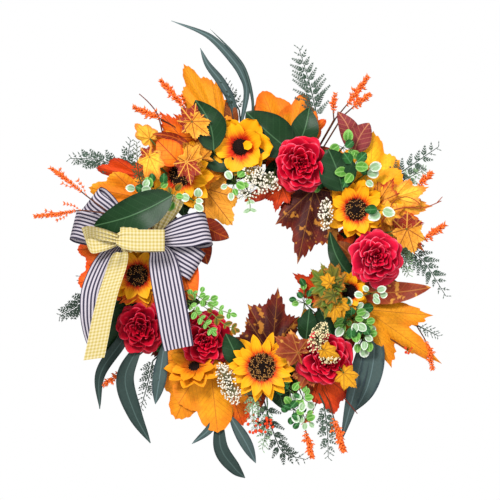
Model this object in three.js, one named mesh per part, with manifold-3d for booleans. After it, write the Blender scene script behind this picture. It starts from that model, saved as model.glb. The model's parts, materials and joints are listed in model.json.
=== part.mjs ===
// Harvest door wreath: a grapevine ring dressed with silk sunflowers, peonies, autumn leaves,
// willow, fern and heather sprays, with a double ribbon bow on its left side.
// Millimetres, +Z up, front facing -Y. The origin is the point in the hanging loop where the
// door hook bears. Places on the wreath are written [x, z] from the centre of the vine ring,
// and "depth" is the distance in front of the hook's plane, so y = -depth.

import * as THREE from 'three';
import { mergeVertices } from 'three/addons/utils/BufferGeometryUtils.js';
import Module from 'manifold-3d';

const wasm = await Module();
wasm.setup();

// Vine ring
const RING_DROP = 168; // from the hook down to the ring's centre
const RING_RADIUS = 128; // of the bundle's centreline
const RING_DEPTH = 20;
const STRAND_COUNT = 4;
const STRAND_RADIUS = 5.9;
const STRAND_ORBIT = 9.2; // strand centre from bundle centre
const STRAND_TURNS = 2; // twists of the bundle in one trip round the ring
const STRAND_STEPS = 44;
const STRAND_SIDES = 6;
const BUNDLE_RADIUS = STRAND_ORBIT + STRAND_RADIUS;
const BUNDLE_FRONT = RING_DEPTH + BUNDLE_RADIUS + 0.4; // depth where stems meet the vine
const GAP = 0.4; // clearance between neighbouring pieces

// Bindings and wires
const BINDING_RADIUS = 2.6;
const BINDING_ANGLES = { vine_binding_1: 33, vine_binding_2: -160 };
const BINDING_SKEW = 5;
const WRAP_WIRE_RADIUS = 1.2;
const HANGER_ANGLE = 90;
const LOOP_WIRE_RADIUS = 1.2;
const LOOP_HINGE = [0, 150]; // depth and height of the hanging loop's lower bar
const LOOP_HALF_WIDTH = 8.5;
const EYELET_RADIUS = 2.8;
const EYELET_WIRE_RADIUS = 1;

// Leaves lie in thin layers between the vine and the flower heads
const FIRST_LAYER = 43;
const LAYER_PITCH = 2.3;
const LEAF_THICKNESS = 1.6;
const PICK_STEM_RADIUS = 1.5;
const TWIG_WIDTH = 5;
const FLOWER_STEM_RADIUS = 2.5;
const HEAD_SEGMENTS = 20;

// Bow
const BOW_CENTRE = [-138, 21];
const BOW_BACK = 60; // depth of the knot's back
const BOW_FRONT = 112;
const KNOT_RADIUS = 6;
const RIBBON_THICKNESS = 1.2;
const STRIPED_WIDTH = 36;
const GINGHAM_WIDTH = 25;
const PINCH_WIDTH = 11;
const TAIL_TOP = -2; // height where the tails start to swing

const COLOURS = {
  vine: 0x6b4a30,
  wire: 0x4a4038,
  pumpkin: 0xe08a16,
  orange: 0xd9621a,
  gold: 0xe9b21f,
  burgundy: 0x5c2420,
  rust: 0x8f3a1c,
  darkGreen: 0x274028,
  willow: 0x5a6e66,
  fern: 0x3c4f3a,
  heather: 0xe0652a,
  white: 0xe8e0cf,
  paleGreen: 0x8fb27a,
  petals: 0xf2a913,
  seeds: 0x3a241a,
  peony: 0xb3162c,
  striped: 0x8d8a98,
  gingham: 0xe3d49a,
};

const wreath = new THREE.Group();
wreath.position.set(0, 0, -RING_DROP);

function place(name, geometry, colour, roughness = 0.75, metalness = 0) {
  geometry.computeVertexNormals();
  const material = new THREE.MeshStandardMaterial({ color: colour, roughness, metalness });
  const mesh = new THREE.Mesh(geometry, material);
  mesh.name = name;
  wreath.add(mesh);
}

// Solids for cutting and joining

function bareGeometry(geometry) {
  const bare = geometry.clone();
  for (const attribute of Object.keys(bare.attributes)) {
    if (attribute !== 'position') {
      bare.deleteAttribute(attribute);
    }
  }
  const merged = mergeVertices(bare, 1e-4);
  const index = merged.index.array;
  const kept = [];
  for (let i = 0; i < index.length; i += 3) {
    const [a, b, c] = [index[i], index[i + 1], index[i + 2]];
    if (a !== b && b !== c && c !== a) {
      kept.push(a, b, c);
    }
  }
  merged.setIndex(kept);
  return merged;
}

function toSolid(geometry) {
  const bare = bareGeometry(geometry);
  return new wasm.Manifold(new wasm.Mesh({
    numProp: 3,
    vertProperties: new Float32Array(bare.attributes.position.array),
    triVerts: new Uint32Array(bare.index.array),
  }));
}

function toGeometry(solid) {
  const mesh = solid.getMesh();
  const geometry = new THREE.BufferGeometry();
  geometry.setAttribute('position', new THREE.BufferAttribute(mesh.vertProperties, 3));
  geometry.setIndex(new THREE.BufferAttribute(mesh.triVerts, 1));
  return geometry;
}

// A stem can cut the edge off a leaf, and that offcut is dropped
function largestPiece(solid) {
  return solid.decompose().reduce(
    (largest, piece) => (piece.volume() > largest.volume() ? piece : largest));
}

function rod(from, to, radius, sides = 8) {
  const start = new THREE.Vector3(...from);
  const run = new THREE.Vector3(...to).sub(start);
  const geometry = new THREE.CylinderGeometry(radius, radius, run.length(), sides);
  const turn = new THREE.Quaternion().setFromUnitVectors(
    new THREE.Vector3(0, 1, 0), run.clone().normalize());
  geometry.applyQuaternion(turn);
  const middle = start.addScaledVector(run, 0.5);
  geometry.translate(middle.x, middle.y, middle.z);
  return geometry;
}

// Closed tubes: a torus whose rings are moved onto another closed centreline

function closedTube(sideCount, stepCount, radius, frameAt) {
  const geometry = new THREE.TorusGeometry(1, 0.5, sideCount, stepCount);
  const position = geometry.attributes.position;
  const uv = geometry.attributes.uv;
  for (let i = 0; i < position.count; i += 1) {
    const { centre, normal, binormal } = frameAt(uv.getX(i) * 2 * Math.PI);
    const side = uv.getY(i) * 2 * Math.PI;
    const point = centre.clone()
      .addScaledVector(normal, radius * Math.cos(side))
      .addScaledVector(binormal, radius * Math.sin(side));
    position.setXYZ(i, point.x, point.y, point.z);
  }
  return bareGeometry(geometry);
}

function ringFrame(angle) {
  return {
    point: new THREE.Vector3(
      RING_RADIUS * Math.cos(angle), -RING_DEPTH, RING_RADIUS * Math.sin(angle)),
    radial: new THREE.Vector3(Math.cos(angle), 0, Math.sin(angle)),
    tangent: new THREE.Vector3(-Math.sin(angle), 0, Math.cos(angle)),
    forward: new THREE.Vector3(0, -1, 0),
  };
}

function vineStrand(phase) {
  return closedTube(STRAND_SIDES, STRAND_STEPS, STRAND_RADIUS, (angle) => {
    const ring = ringFrame(angle);
    const twist = STRAND_TURNS * angle + phase;
    const centre = ring.point
      .addScaledVector(ring.radial, STRAND_ORBIT * Math.cos(twist))
      .addScaledVector(ring.forward, STRAND_ORBIT * Math.sin(twist));
    return { centre, normal: ring.radial, binormal: ring.forward };
  });
}

// A turn of vine or wire round the bundle, leaning along it by skew
function bundleWrap(degrees, wireRadius, skew, steps) {
  const orbit = BUNDLE_RADIUS + GAP + wireRadius;
  const ring = ringFrame(THREE.MathUtils.degToRad(degrees));
  const binormal = ring.tangent.clone().negate();
  return closedTube(6, steps, wireRadius, (angle) => {
    const outward = ring.radial.clone().multiplyScalar(Math.cos(angle))
      .addScaledVector(ring.forward, Math.sin(angle));
    const centre = ring.point.clone()
      .addScaledVector(outward, orbit)
      .addScaledVector(ring.tangent, skew * Math.sin(angle));
    return { centre, normal: outward, binormal };
  });
}

function addVineRing() {
  for (let i = 0; i < STRAND_COUNT; i += 1) {
    const phase = (2 * Math.PI * i) / STRAND_COUNT;
    place(`vine_strand_${i + 1}`, vineStrand(phase), COLOURS.vine, 0.9);
  }
  for (const [name, degrees] of Object.entries(BINDING_ANGLES)) {
    place(name, bundleWrap(degrees, BINDING_RADIUS, BINDING_SKEW, 12), COLOURS.vine, 0.9);
  }
}

// Hanger: a wire wrapped round the bundle, twisted into an eyelet that holds the loop's bar

function addHanger() {
  const [hingeDepth, hingeHeight] = LOOP_HINGE;
  const eyeletCentre = new THREE.Vector3(0, -hingeDepth, hingeHeight);
  const bundleCentre = new THREE.Vector3(0, -RING_DEPTH, RING_RADIUS);
  const away = eyeletCentre.clone().sub(bundleCentre).normalize();
  const wrapOrbit = BUNDLE_RADIUS + GAP + WRAP_WIRE_RADIUS;
  const neckStart = bundleCentre.clone().addScaledVector(away, wrapOrbit);
  const neckEnd = eyeletCentre.clone().addScaledVector(away, -EYELET_RADIUS);
  const eyelet = new THREE.TorusGeometry(EYELET_RADIUS, EYELET_WIRE_RADIUS, 6, 14);
  eyelet.rotateY(Math.PI / 2);
  eyelet.translate(...eyeletCentre.toArray());
  const wrap = toSolid(bundleWrap(HANGER_ANGLE, WRAP_WIRE_RADIUS, 0, 16))
    .add(toSolid(rod(neckStart.toArray(), neckEnd.toArray(), 1.5, 6)))
    .add(toSolid(eyelet));
  place('hanger_wrap', toGeometry(wrap), COLOURS.wire, 0.5, 0.8);

  const top = RING_DROP + LOOP_WIRE_RADIUS;
  const halfHeight = (top - hingeHeight) / 2;
  const squareness = 0.55; // 1 is an ellipse, and less is closer to a rectangle
  const rounded = (value) => Math.sign(value) * Math.abs(value) ** squareness;
  const forward = new THREE.Vector3(0, -1, 0);
  const centreAt = (angle) => new THREE.Vector3(
    LOOP_HALF_WIDTH * rounded(Math.cos(angle)),
    -hingeDepth,
    hingeHeight + halfHeight * (1 + rounded(Math.sin(angle))));
  const loop = closedTube(6, 24, LOOP_WIRE_RADIUS, (angle) => {
    const ahead = centreAt(angle + 0.05).sub(centreAt(angle - 0.05)).normalize();
    return { centre: centreAt(angle), normal: ahead.cross(forward), binormal: forward };
  });
  place('hanging_loop', loop, COLOURS.wire, 0.45, 0.8);
}

// Flower heads: lathes about the depth axis, with the petal rim drawn in at every other ray

function headGeometry(centre, profile, rimRadius, notch) {
  const points = profile.map(([radius, depth]) => new THREE.Vector2(radius, depth));
  const geometry = new THREE.LatheGeometry(points, HEAD_SEGMENTS);
  const position = geometry.attributes.position;
  const uv = geometry.attributes.uv;
  for (let i = 0; i < position.count; i += 1) {
    const x = position.getX(i);
    const z = position.getZ(i);
    const ray = Math.round(uv.getX(i) * HEAD_SEGMENTS) % 2;
    const inRim = Math.hypot(x, z) > rimRadius;
    const pull = inRim && ray === 1 ? notch : 1;
    position.setXYZ(i, x * pull, position.getY(i), z * pull);
  }
  geometry.rotateX(Math.PI);
  geometry.translate(centre[0], 0, centre[1]);
  return bareGeometry(geometry);
}

// A flower's stem runs from inside its head to the front of the vine
function flowerStem(centre, headBack, foot, radius) {
  const overlap = 1.5;
  return toSolid(rod(
    [centre[0], -headBack - overlap, centre[1]], [foot[0], -BUNDLE_FRONT, foot[1]], radius));
}

function withStem(head, centre, headBack, foot) {
  return toGeometry(toSolid(head).add(flowerStem(centre, headBack, foot, FLOWER_STEM_RADIUS)));
}

const SUNFLOWERS = [
  { name: 'sunflower_upper_left', centre: [-96, 102], radius: 43, seeds: 14, base: 62 },
  { name: 'sunflower_top', centre: [-22, 136], radius: 36, seeds: 10, base: 62 },
  { name: 'sunflower_upper_right', centre: [118, 56], radius: 36, seeds: 13, base: 60 },
  { name: 'sunflower_right', centre: [112, -40], radius: 32, seeds: 9, base: 60 },
  { name: 'sunflower_bottom', centre: [10, -132], radius: 41, seeds: 16, base: 64 },
  { name: 'sunflower_left', centre: [-139, -25], radius: 36, seeds: 13, base: 50,
    foot: [-126, -23] },
  { name: 'sunflower_lower_left', centre: [-86, -132], radius: 28, seeds: 9, base: 53,
    foot: [-69, -109], budStage: true },
];

const PEONIES = [
  { name: 'peony_top', centre: [54, 112], radius: 36, base: 60, height: 32 },
  { name: 'peony_right', centre: [143, 0], radius: 35, base: 62, height: 32, foot: [131, 0] },
  { name: 'peony_lower_left', centre: [-137, -83], radius: 34, base: 50, height: 26,
    foot: [-110, -66] },
  { name: 'peony_bottom_left', centre: [-61, -98], radius: 31, base: 50, height: 26 },
  { name: 'peony_lower_right', centre: [83, -119], radius: 36, base: 62, height: 32,
    foot: [76, -108] },
];

function sunflowerStemBack(flower) {
  return flower.base - 8;
}

function addSunflower({ name, centre, radius, seeds, base, foot = centre, budStage }) {
  const back = sunflowerStemBack({ base });
  const rim = seeds + 1;
  const head = headGeometry(centre, [
    [0, back], [3, back], [10, base - 4.5], [rim, base - 1],
    [radius, base + 2], [radius - 1, base + 3.2], [rim, base + 4], [0, base + 4],
  ], rim + 1, 0.76);
  place(`${name}_petals`, withStem(head, centre, back, foot), COLOURS.petals, 0.7);
  if (budStage) {
    return; // its petals close over the middle, so it has no seed disc
  }
  const seedBack = base + 4 + GAP;
  const disc = headGeometry(centre, [
    [0, seedBack], [seeds, seedBack], [seeds, seedBack + 2.5],
    [seeds * 0.7, seedBack + 5.5], [0, seedBack + 6.5],
  ], radius, 1);
  place(`${name}_seeds`, disc, COLOURS.seeds, 0.9);
}

function addPeony({ name, centre, radius, base, height, foot = centre }) {
  const head = headGeometry(centre, [
    [0, base], [3, base], [0.55 * radius, base + 0.35 * height],
    [radius, base + 0.6 * height], [0.97 * radius, base + 0.75 * height],
    [0.72 * radius, base + 0.93 * height], [0.35 * radius, base + height],
    [0, base + 0.97 * height],
  ], 0.9 * radius, 0.92);
  place(name, withStem(head, centre, base, foot), COLOURS.peony, 0.7);
}

// Leaf outlines in the plane of the wreath

function alongLeaf(base, tip, width, profile) {
  const run = new THREE.Vector2(tip[0] - base[0], tip[1] - base[1]);
  const side = new THREE.Vector2(-run.y, run.x).normalize().multiplyScalar(width);
  return profile.map(([along, across]) => new THREE.Vector2(
    base[0] + run.x * along + side.x * across,
    base[1] + run.y * along + side.y * across));
}

function mirrored(half) {
  const other = half.filter(([, across]) => across > 0)
    .map(([along, across]) => [along, -across]);
  return [...half, ...other.reverse()];
}

const MAPLE_HALF = [
  [0, 0.06], [0.1, 0.42], [0.28, 0.24], [0.62, 0.5], [0.62, 0.2], [0.8, 0.18], [1, 0],
];
const OVAL_HALF = [[0, 0.06], [0.15, 0.32], [0.4, 0.5], [0.7, 0.38], [0.9, 0.15], [1, 0]];

function maple(base, tip, width) {
  return alongLeaf(base, tip, width, mirrored(MAPLE_HALF));
}

function oval(base, tip, width) {
  return alongLeaf(base, tip, width, mirrored(OVAL_HALF));
}

// A long blade that bends from base to tip, pulled towards bend
function blade(base, bend, tip, width) {
  const curve = new THREE.QuadraticBezierCurve(
    new THREE.Vector2(...base), new THREE.Vector2(...bend), new THREE.Vector2(...tip));
  const left = [];
  const right = [];
  for (const at of [0, 0.25, 0.5, 0.75]) {
    const point = curve.getPoint(at);
    const tangent = curve.getTangent(at);
    const half = (width / 2) * Math.max(0.35, Math.sin(Math.PI * (0.15 + 0.75 * at)));
    left.push(new THREE.Vector2(point.x - tangent.y * half, point.y + tangent.x * half));
    right.push(new THREE.Vector2(point.x + tangent.y * half, point.y - tangent.x * half));
  }
  return [...left, new THREE.Vector2(...tip), ...right.reverse()];
}

function twig(from, to, width = TWIG_WIDTH) {
  const half = 0.5;
  return alongLeaf(from, to, width, [[0, half], [1, half], [1, -half], [0, -half]]);
}

const PICKS = [
  { name: 'maple_pick_top_left', layer: 1, stem: [-50, 118], colour: COLOURS.pumpkin, outlines: [
    maple([-32, 154], [-83, 229], 50), maple([-70, 126], [-127, 172], 56),
    twig([-50, 118], [-34, 156]), twig([-50, 116], [-80, 136])] },
  { name: 'maple_pick_left', layer: 1, stem: [-106, 72], colour: COLOURS.orange, outlines: [
    maple([-138, 96], [-191, 108], 34), maple([-136, 76], [-198, 78], 40),
    twig([-104, 72], [-142, 77]), twig([-108, 73], [-142, 97])] },
  { name: 'maple_leaf_outer_left', layer: 0, stem: [-126, -6], colour: COLOURS.orange, outlines: [
    maple([-178, -4], [-217, -6], 56), twig([-124, -6], [-184, -4])] },
  { name: 'maple_pick_top', layer: 1, stem: [22, 126], colour: COLOURS.gold, outlines: [
    maple([28, 136], [10, 198], 34), maple([38, 136], [64, 202], 36),
    twig([22, 124], [29, 140]), twig([22, 125], [42, 141])] },
  { name: 'maple_pick_upper_right', layer: 1, stem: [95, 86], colour: COLOURS.gold, outlines: [
    maple([128, 64], [158, 145], 62), oval([108, 112], [106, 166], 28),
    twig([94, 87], [134, 70]), twig([94, 85], [109, 118])] },
  { name: 'maple_pick_right', layer: 2, stem: [128, 24], colour: COLOURS.orange, outlines: [
    maple([146, 60], [206, 62], 56), maple([158, 46], [196, 8], 46),
    twig([127, 23], [152, 60]), twig([126, 25], [166, 40])] },
  { name: 'folded_leaf_right', layer: 1, stem: [126, -26], colour: COLOURS.rust, outlines: [
    oval([116, -36], [210, -34], 32), twig([126, -24], [128, -38])] },
  { name: 'maple_leaf_lower_right', layer: 2, stem: [110, -70], colour: COLOURS.pumpkin, outlines: [
    maple([130, -60], [221, -126], 88), twig([108, -71], [136, -64])] },
  { name: 'maple_pick_bottom_right', layer: 1, stem: [62, -114], colour: COLOURS.orange, outlines: [
    maple([78, -140], [84, -186], 46), maple([92, -136], [120, -152], 28),
    twig([61, -113], [79, -146]), twig([63, -120], [97, -138])] },
  { name: 'maple_leaf_bottom_left', layer: 0, stem: [-50, -116], colour: COLOURS.pumpkin, outlines: [
    maple([-50, -122], [-62, -210], 98), twig([-50, -114], [-51, -130], 7)] },
  { name: 'burgundy_leaf_top', layer: 2, stem: [80, 92], colour: COLOURS.burgundy, outlines: [
    maple([78, 90], [58, 2], 64), twig([81, 94], [77, 80], 7)] },
  { name: 'burgundy_leaf_bottom', layer: 1, stem: [20, -118], colour: COLOURS.burgundy, outlines: [
    maple([19, -112], [10, -42], 60), twig([20, -120], [18, -104], 7)] },
  { name: 'golden_leaves_inner', layer: 1, stem: [-98, 58], colour: COLOURS.gold, outlines: [
    maple([-72, 56], [-20, 66], 44), oval([-68, 44], [-32, 24], 26), oval([-76, 30], [-58, -8], 26),
    oval([-80, 4], [-72, -48], 24),
    twig([-99, 58], [-66, 56]), twig([-72, 56], [-74, 24]), twig([-72, 28], [-80, -4])] },
  { name: 'dark_leaves_top', layer: 3, stem: [38, 122], colour: COLOURS.darkGreen, outlines: [
    oval([42, 128], [-12, 174], 42), oval([52, 138], [62, 178], 32), oval([84, 96], [100, 126], 36),
    twig([37, 123], [54, 144]), twig([36, 122], [88, 104])] },
  { name: 'willow_spray_top', layer: 0, stem: [-8, 128], colour: COLOURS.willow, outlines: [
    blade([-14, 168], [10, 246], [-102, 286], 11), blade([-5, 168], [2, 240], [-55, 276], 8),
    blade([-22, 166], [-34, 204], [-67, 253], 8),
    twig([-8, 126], [-12, 174]), twig([-24, 170], [-3, 172])] },
  { name: 'willow_spray_bottom_left', layer: 1, stem: [-94, -86], colour: COLOURS.willow, outlines: [
    blade([-148, -90], [-190, -130], [-188, -182], 15),
    blade([-140, -100], [-166, -160], [-127, -223], 21),
    blade([-110, -100], [-116, -140], [-120, -176], 15),
    twig([-92, -85], [-152, -95]), twig([-108, -88], [-112, -108]), twig([-138, -92], [-143, -106])] },
  { name: 'willow_spray_bottom', layer: 1, stem: [-36, -124], colour: COLOURS.willow, outlines: [
    blade([-46, -192], [-58, -212], [-77, -224], 10),
    blade([-44, -192], [-46, -236], [-13, -265], 18),
    blade([-34, -192], [-14, -216], [0, -247], 15),
    twig([-36, -122], [-44, -200]), twig([-50, -196], [-28, -198])] },
  { name: 'willow_spray_lower_right', layer: 0, stem: [101, -82], colour: COLOURS.willow, outlines: [
    blade([122, -100], [104, -166], [103, -221], 18),
    blade([132, -86], [160, -136], [122, -182], 24),
    twig([99, -81], [136, -92]), twig([120, -86], [121, -106])] },
  { name: 'fern_spray_top', layer: 0, stem: [62, 122], colour: COLOURS.fern, outlines: [
    oval([56, 184], [52, 254], 46), twig([62, 120], [56, 192])] },
  { name: 'fern_spray_right', layer: 0, stem: [124, 34], colour: COLOURS.fern, outlines: [
    oval([150, 90], [220, 134], 40), oval([168, 22], [230, -46], 40),
    twig([123, 33], [156, 96]), twig([122, 35], [174, 17])] },
  { name: 'fern_spray_bottom', layer: 2, stem: [31, -124], colour: COLOURS.fern, outlines: [
    blade([12, -170], [28, -236], [60, -242], 34), oval([80, -176], [88, -240], 26),
    twig([31, -122], [15, -178]), twig([30, -122], [82, -184])] },
  { name: 'heather_spray_left', layer: 2, stem: [-118, 46], colour: COLOURS.heather, outlines: [
    oval([-190, 62], [-240, 104], 14), oval([-186, 58], [-258, 49], 14),
    twig([-116, 46], [-194, 61])] },
  { name: 'white_flower_spray', layer: 4, stem: [-22, -126], colour: COLOURS.white, outlines: [
    oval([-20, -124], [-34, -176], 24), twig([-22, -124], [-23, -134], 7)] },
  { name: 'variegated_spray', layer: 4, stem: [112, -62], colour: COLOURS.paleGreen, outlines: [
    oval([108, -56], [134, -104], 32), oval([106, -62], [98, -98], 22),
    twig([112, -58], [112, -72], 7)] },
];

const BOW_LEAF = {
  name: 'dark_leaf_bow', back: 88, stem: [-122, 60], colour: COLOURS.darkGreen,
  outlines: [oval([-100, 78], [-190, 40], 42)],
};

function backOf(pick) {
  return pick.back ?? FIRST_LAYER + pick.layer * LAYER_PITCH;
}

function plate(outline, back) {
  const shape = new THREE.Shape(outline);
  const geometry = new THREE.ExtrudeGeometry(shape, { depth: LEAF_THICKNESS, bevelEnabled: false });
  geometry.rotateX(Math.PI / 2);
  geometry.translate(0, -back, 0);
  return toSolid(geometry);
}

// Every stem, with the clearance that the leaves it passes through keep from it
function stemClearances() {
  const grown = (radius) => (radius + GAP) / Math.cos(Math.PI / 8);
  const clearances = new Map();
  for (const pick of [...PICKS, BOW_LEAF]) {
    const [x, z] = pick.stem;
    const hole = rod([x, -backOf(pick), z], [x, -BUNDLE_FRONT + 1, z], grown(PICK_STEM_RADIUS));
    clearances.set(pick.name, toSolid(hole));
  }
  const flowers = [
    ...SUNFLOWERS.map((flower) => ({ ...flower, back: sunflowerStemBack(flower) })),
    ...PEONIES.map((flower) => ({ ...flower, back: flower.base })),
  ];
  for (const { name, centre, back, foot = centre } of flowers) {
    clearances.set(name, flowerStem(centre, back, foot, grown(FLOWER_STEM_RADIUS)));
  }
  return clearances;
}

function addPick(pick, clearances) {
  const back = backOf(pick);
  const [x, z] = pick.stem;
  const stem = rod(
    [x, -back - LEAF_THICKNESS / 2, z], [x, -BUNDLE_FRONT, z], PICK_STEM_RADIUS, 6);
  let solid = toSolid(stem);
  for (const outline of pick.outlines) {
    solid = solid.add(plate(outline, back));
  }
  for (const [name, hole] of clearances) {
    if (name !== pick.name) {
      solid = solid.subtract(hole);
    }
  }
  place(pick.name, toGeometry(largestPiece(solid)), pick.colour, 0.8);
}

// Bow: ribbon strips that follow a row of sections, each with a centre, a width and a lie

function ribbonStrip(sections, across) {
  const forward = new THREE.Vector3();
  const vertices = [];
  const faces = [];
  const last = sections.length - 1;
  sections.forEach(({ centre, width }, i) => {
    const before = sections[Math.max(i - 1, 0)].centre;
    const after = sections[Math.min(i + 1, last)].centre;
    forward.copy(after).sub(before).cross(across).normalize();
    for (const [side, face] of [[-1, -1], [1, -1], [1, 1], [-1, 1]]) {
      const corner = centre.clone()
        .addScaledVector(across, (side * width) / 2)
        .addScaledVector(forward, (face * RIBBON_THICKNESS) / 2);
      vertices.push(...corner.toArray());
    }
  });
  for (let i = 0; i < last; i += 1) {
    for (let side = 0; side < 4; side += 1) {
      const a = 4 * i + side;
      const b = 4 * i + ((side + 1) % 4);
      faces.push(a, b, b + 4, a, b + 4, a + 4);
    }
  }
  const end = 4 * last;
  faces.push(0, 2, 1, 0, 3, 2, end, end + 1, end + 2, end, end + 2, end + 3);
  const geometry = new THREE.BufferGeometry();
  geometry.setAttribute('position', new THREE.BufferAttribute(new Float32Array(vertices), 3));
  geometry.setIndex(faces);
  return geometry;
}

function bowPoint(out, depth, degrees) {
  const angle = THREE.MathUtils.degToRad(degrees);
  return new THREE.Vector3(
    BOW_CENTRE[0] + out * Math.cos(angle), -depth, BOW_CENTRE[1] + out * Math.sin(angle));
}

// A loop leaves the knot at its back depth, turns at its far end and comes back in front
function bowLoop({ degrees, length, width, back, front }) {
  const angle = THREE.MathUtils.degToRad(degrees);
  const across = new THREE.Vector3(-Math.sin(angle), 0, Math.cos(angle));
  const inner = 0.7; // ribbon's half thickness, kept inside the loop's depth
  const middle = (back + front) / 2;
  const start = KNOT_RADIUS + 1.2;
  const path = [
    [start, middle - 1.8, PINCH_WIDTH],
    [0.3 * length, back + inner, 0.7 * width],
    [0.7 * length, back + inner, width],
    [0.95 * length, back + 2 * inner, width],
    [length, middle, width],
    [0.95 * length, front - 2 * inner, width],
    [0.7 * length, front - inner, width],
    [0.3 * length, front - inner, 0.7 * width],
    [start, middle + 1.8, PINCH_WIDTH],
  ];
  const sections = path.map(([out, depth, sectionWidth]) => ({
    centre: bowPoint(out, depth, degrees), width: sectionWidth }));
  return toSolid(ribbonStrip(sections, across));
}

// The pleats beside the knot, which join the loops of one side
function gather(degrees, back, front) {
  const size = 3.2;
  const block = new THREE.BoxGeometry(size, front - back, PINCH_WIDTH);
  block.rotateY(-THREE.MathUtils.degToRad(degrees));
  const at = bowPoint(KNOT_RADIUS + 0.8 + size / 2, (back + front) / 2, degrees);
  block.translate(at.x, at.y, at.z);
  return toSolid(block);
}

const LOOPS = {
  stripe_loops_left: {
    width: STRIPED_WIDTH, colour: COLOURS.striped, gather: 164,
    loops: [
      { degrees: 149, length: 78, back: 66, front: 75 },
      { degrees: 179, length: 80, back: 77, front: 86 },
    ],
  },
  stripe_loops_right: {
    width: STRIPED_WIDTH, colour: COLOURS.striped, gather: -5,
    loops: [
      { degrees: -22, length: 78, back: 66, front: 75 },
      { degrees: 12, length: 82, back: 77, front: 86 },
    ],
  },
  gingham_loop_left: {
    width: GINGHAM_WIDTH, colour: COLOURS.gingham, gather: 180,
    loops: [{ degrees: 180, length: 62, back: 94, front: 108 }],
  },
  gingham_loops_right: {
    width: GINGHAM_WIDTH, colour: COLOURS.gingham, gather: 25,
    loops: [
      { degrees: 50, length: 70, back: 92, front: 97 },
      { degrees: 0, length: 36, back: 99, front: 109 },
    ],
  },
};

const TAILS = {
  stripe_tail_right: { colour: COLOURS.striped, sections: [
    [-109, 80.6, 0, 30], [-107, 84, -14, 34], [-103, 86, -36, 36],
    [-98, 85, -64, 36], [-94, 83.5, -88, 35], [-91, 82.5, -108, 34]] },
  stripe_tail_left: { colour: COLOURS.striped, sections: [
    [-172, 80.6, 0, 28], [-182, 83, -16, 34], [-188, 84.5, -40, 36],
    [-190, 84.5, -64, 36], [-188, 83, -84, 36], [-186, 82, -103, 30]] },
  gingham_tail: { colour: COLOURS.gingham, sections: [
    [-162, 90.6, 0, 23], [-166, 93, -14, 25], [-173, 94.5, -40, 25],
    [-180, 94, -68, 25], [-187, 92.5, -96, 25], [-192, 91.5, -118, 24]] },
};

function addBowLoops() {
  for (const [name, part] of Object.entries(LOOPS)) {
    const backs = part.loops.map(({ back, front }) => (back + front) / 2);
    let solid = gather(part.gather, Math.min(...backs) - 3, Math.max(...backs) + 3);
    for (const loop of part.loops) {
      solid = solid.add(bowLoop({ ...loop, width: part.width }));
    }
    place(name, toGeometry(solid), part.colour, 0.85);
  }
}

function addBowTails() {
  const across = new THREE.Vector3(1, 0, 0);
  for (const [name, { colour, sections }] of Object.entries(TAILS)) {
    const strip = sections.map(([x, depth, height, width]) => ({
      centre: new THREE.Vector3(x, -depth, height + TAIL_TOP), width }));
    place(name, ribbonStrip(strip, across), colour, 0.85);
  }
}

function addBowKnot() {
  const knot = headGeometry(BOW_CENTRE, [
    [0, BOW_BACK], [KNOT_RADIUS - 1, BOW_BACK], [KNOT_RADIUS, BOW_BACK + 3],
    [KNOT_RADIUS, BOW_FRONT - 2.5], [KNOT_RADIUS - 1, BOW_FRONT], [0, BOW_FRONT],
  ], BOW_FRONT, 1);
  place('bow_knot', knot, COLOURS.gingham, 0.85);
}

// The tie wire goes round the bundle and runs forward to the back of the knot
function addTieWire() {
  const wireRadius = 1;
  const [x, z] = BOW_CENTRE;
  const angle = Math.atan2(z, x);
  const ring = ringFrame(angle);
  const wrapFront = BUNDLE_RADIUS + GAP + wireRadius + RING_DEPTH;
  const bend = 48;
  const wire = toSolid(bundleWrap(THREE.MathUtils.radToDeg(angle), wireRadius, 0, 16))
    .add(toSolid(rod([ring.point.x, -wrapFront, ring.point.z], [x, -bend, z], 1.8, 6)))
    .add(toSolid(rod([x, -bend + 1, z], [x, -BOW_BACK + GAP, z], 1.8, 6)));
  place('bow_tie_wire', toGeometry(wire), COLOURS.wire, 0.5, 0.8);
}

addVineRing();
addHanger();
SUNFLOWERS.forEach(addSunflower);
PEONIES.forEach(addPeony);
const clearances = stemClearances();
for (const pick of [...PICKS, BOW_LEAF]) {
  addPick(pick, clearances);
}
addTieWire();
addBowKnot();
addBowLoops();
addBowTails();

export default wreath;
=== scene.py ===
# The looks of the harvest door wreath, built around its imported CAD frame.
# Places are millimetres about the centre of the vine ring, written [x, depth, z]: x to the right
# seen from the front, depth forward from the hook's plane, z up. Shape.finish turns them into the
# row frame. Places that lie flat in a layer of the wreath are written [x, z].
import json
import math

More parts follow.
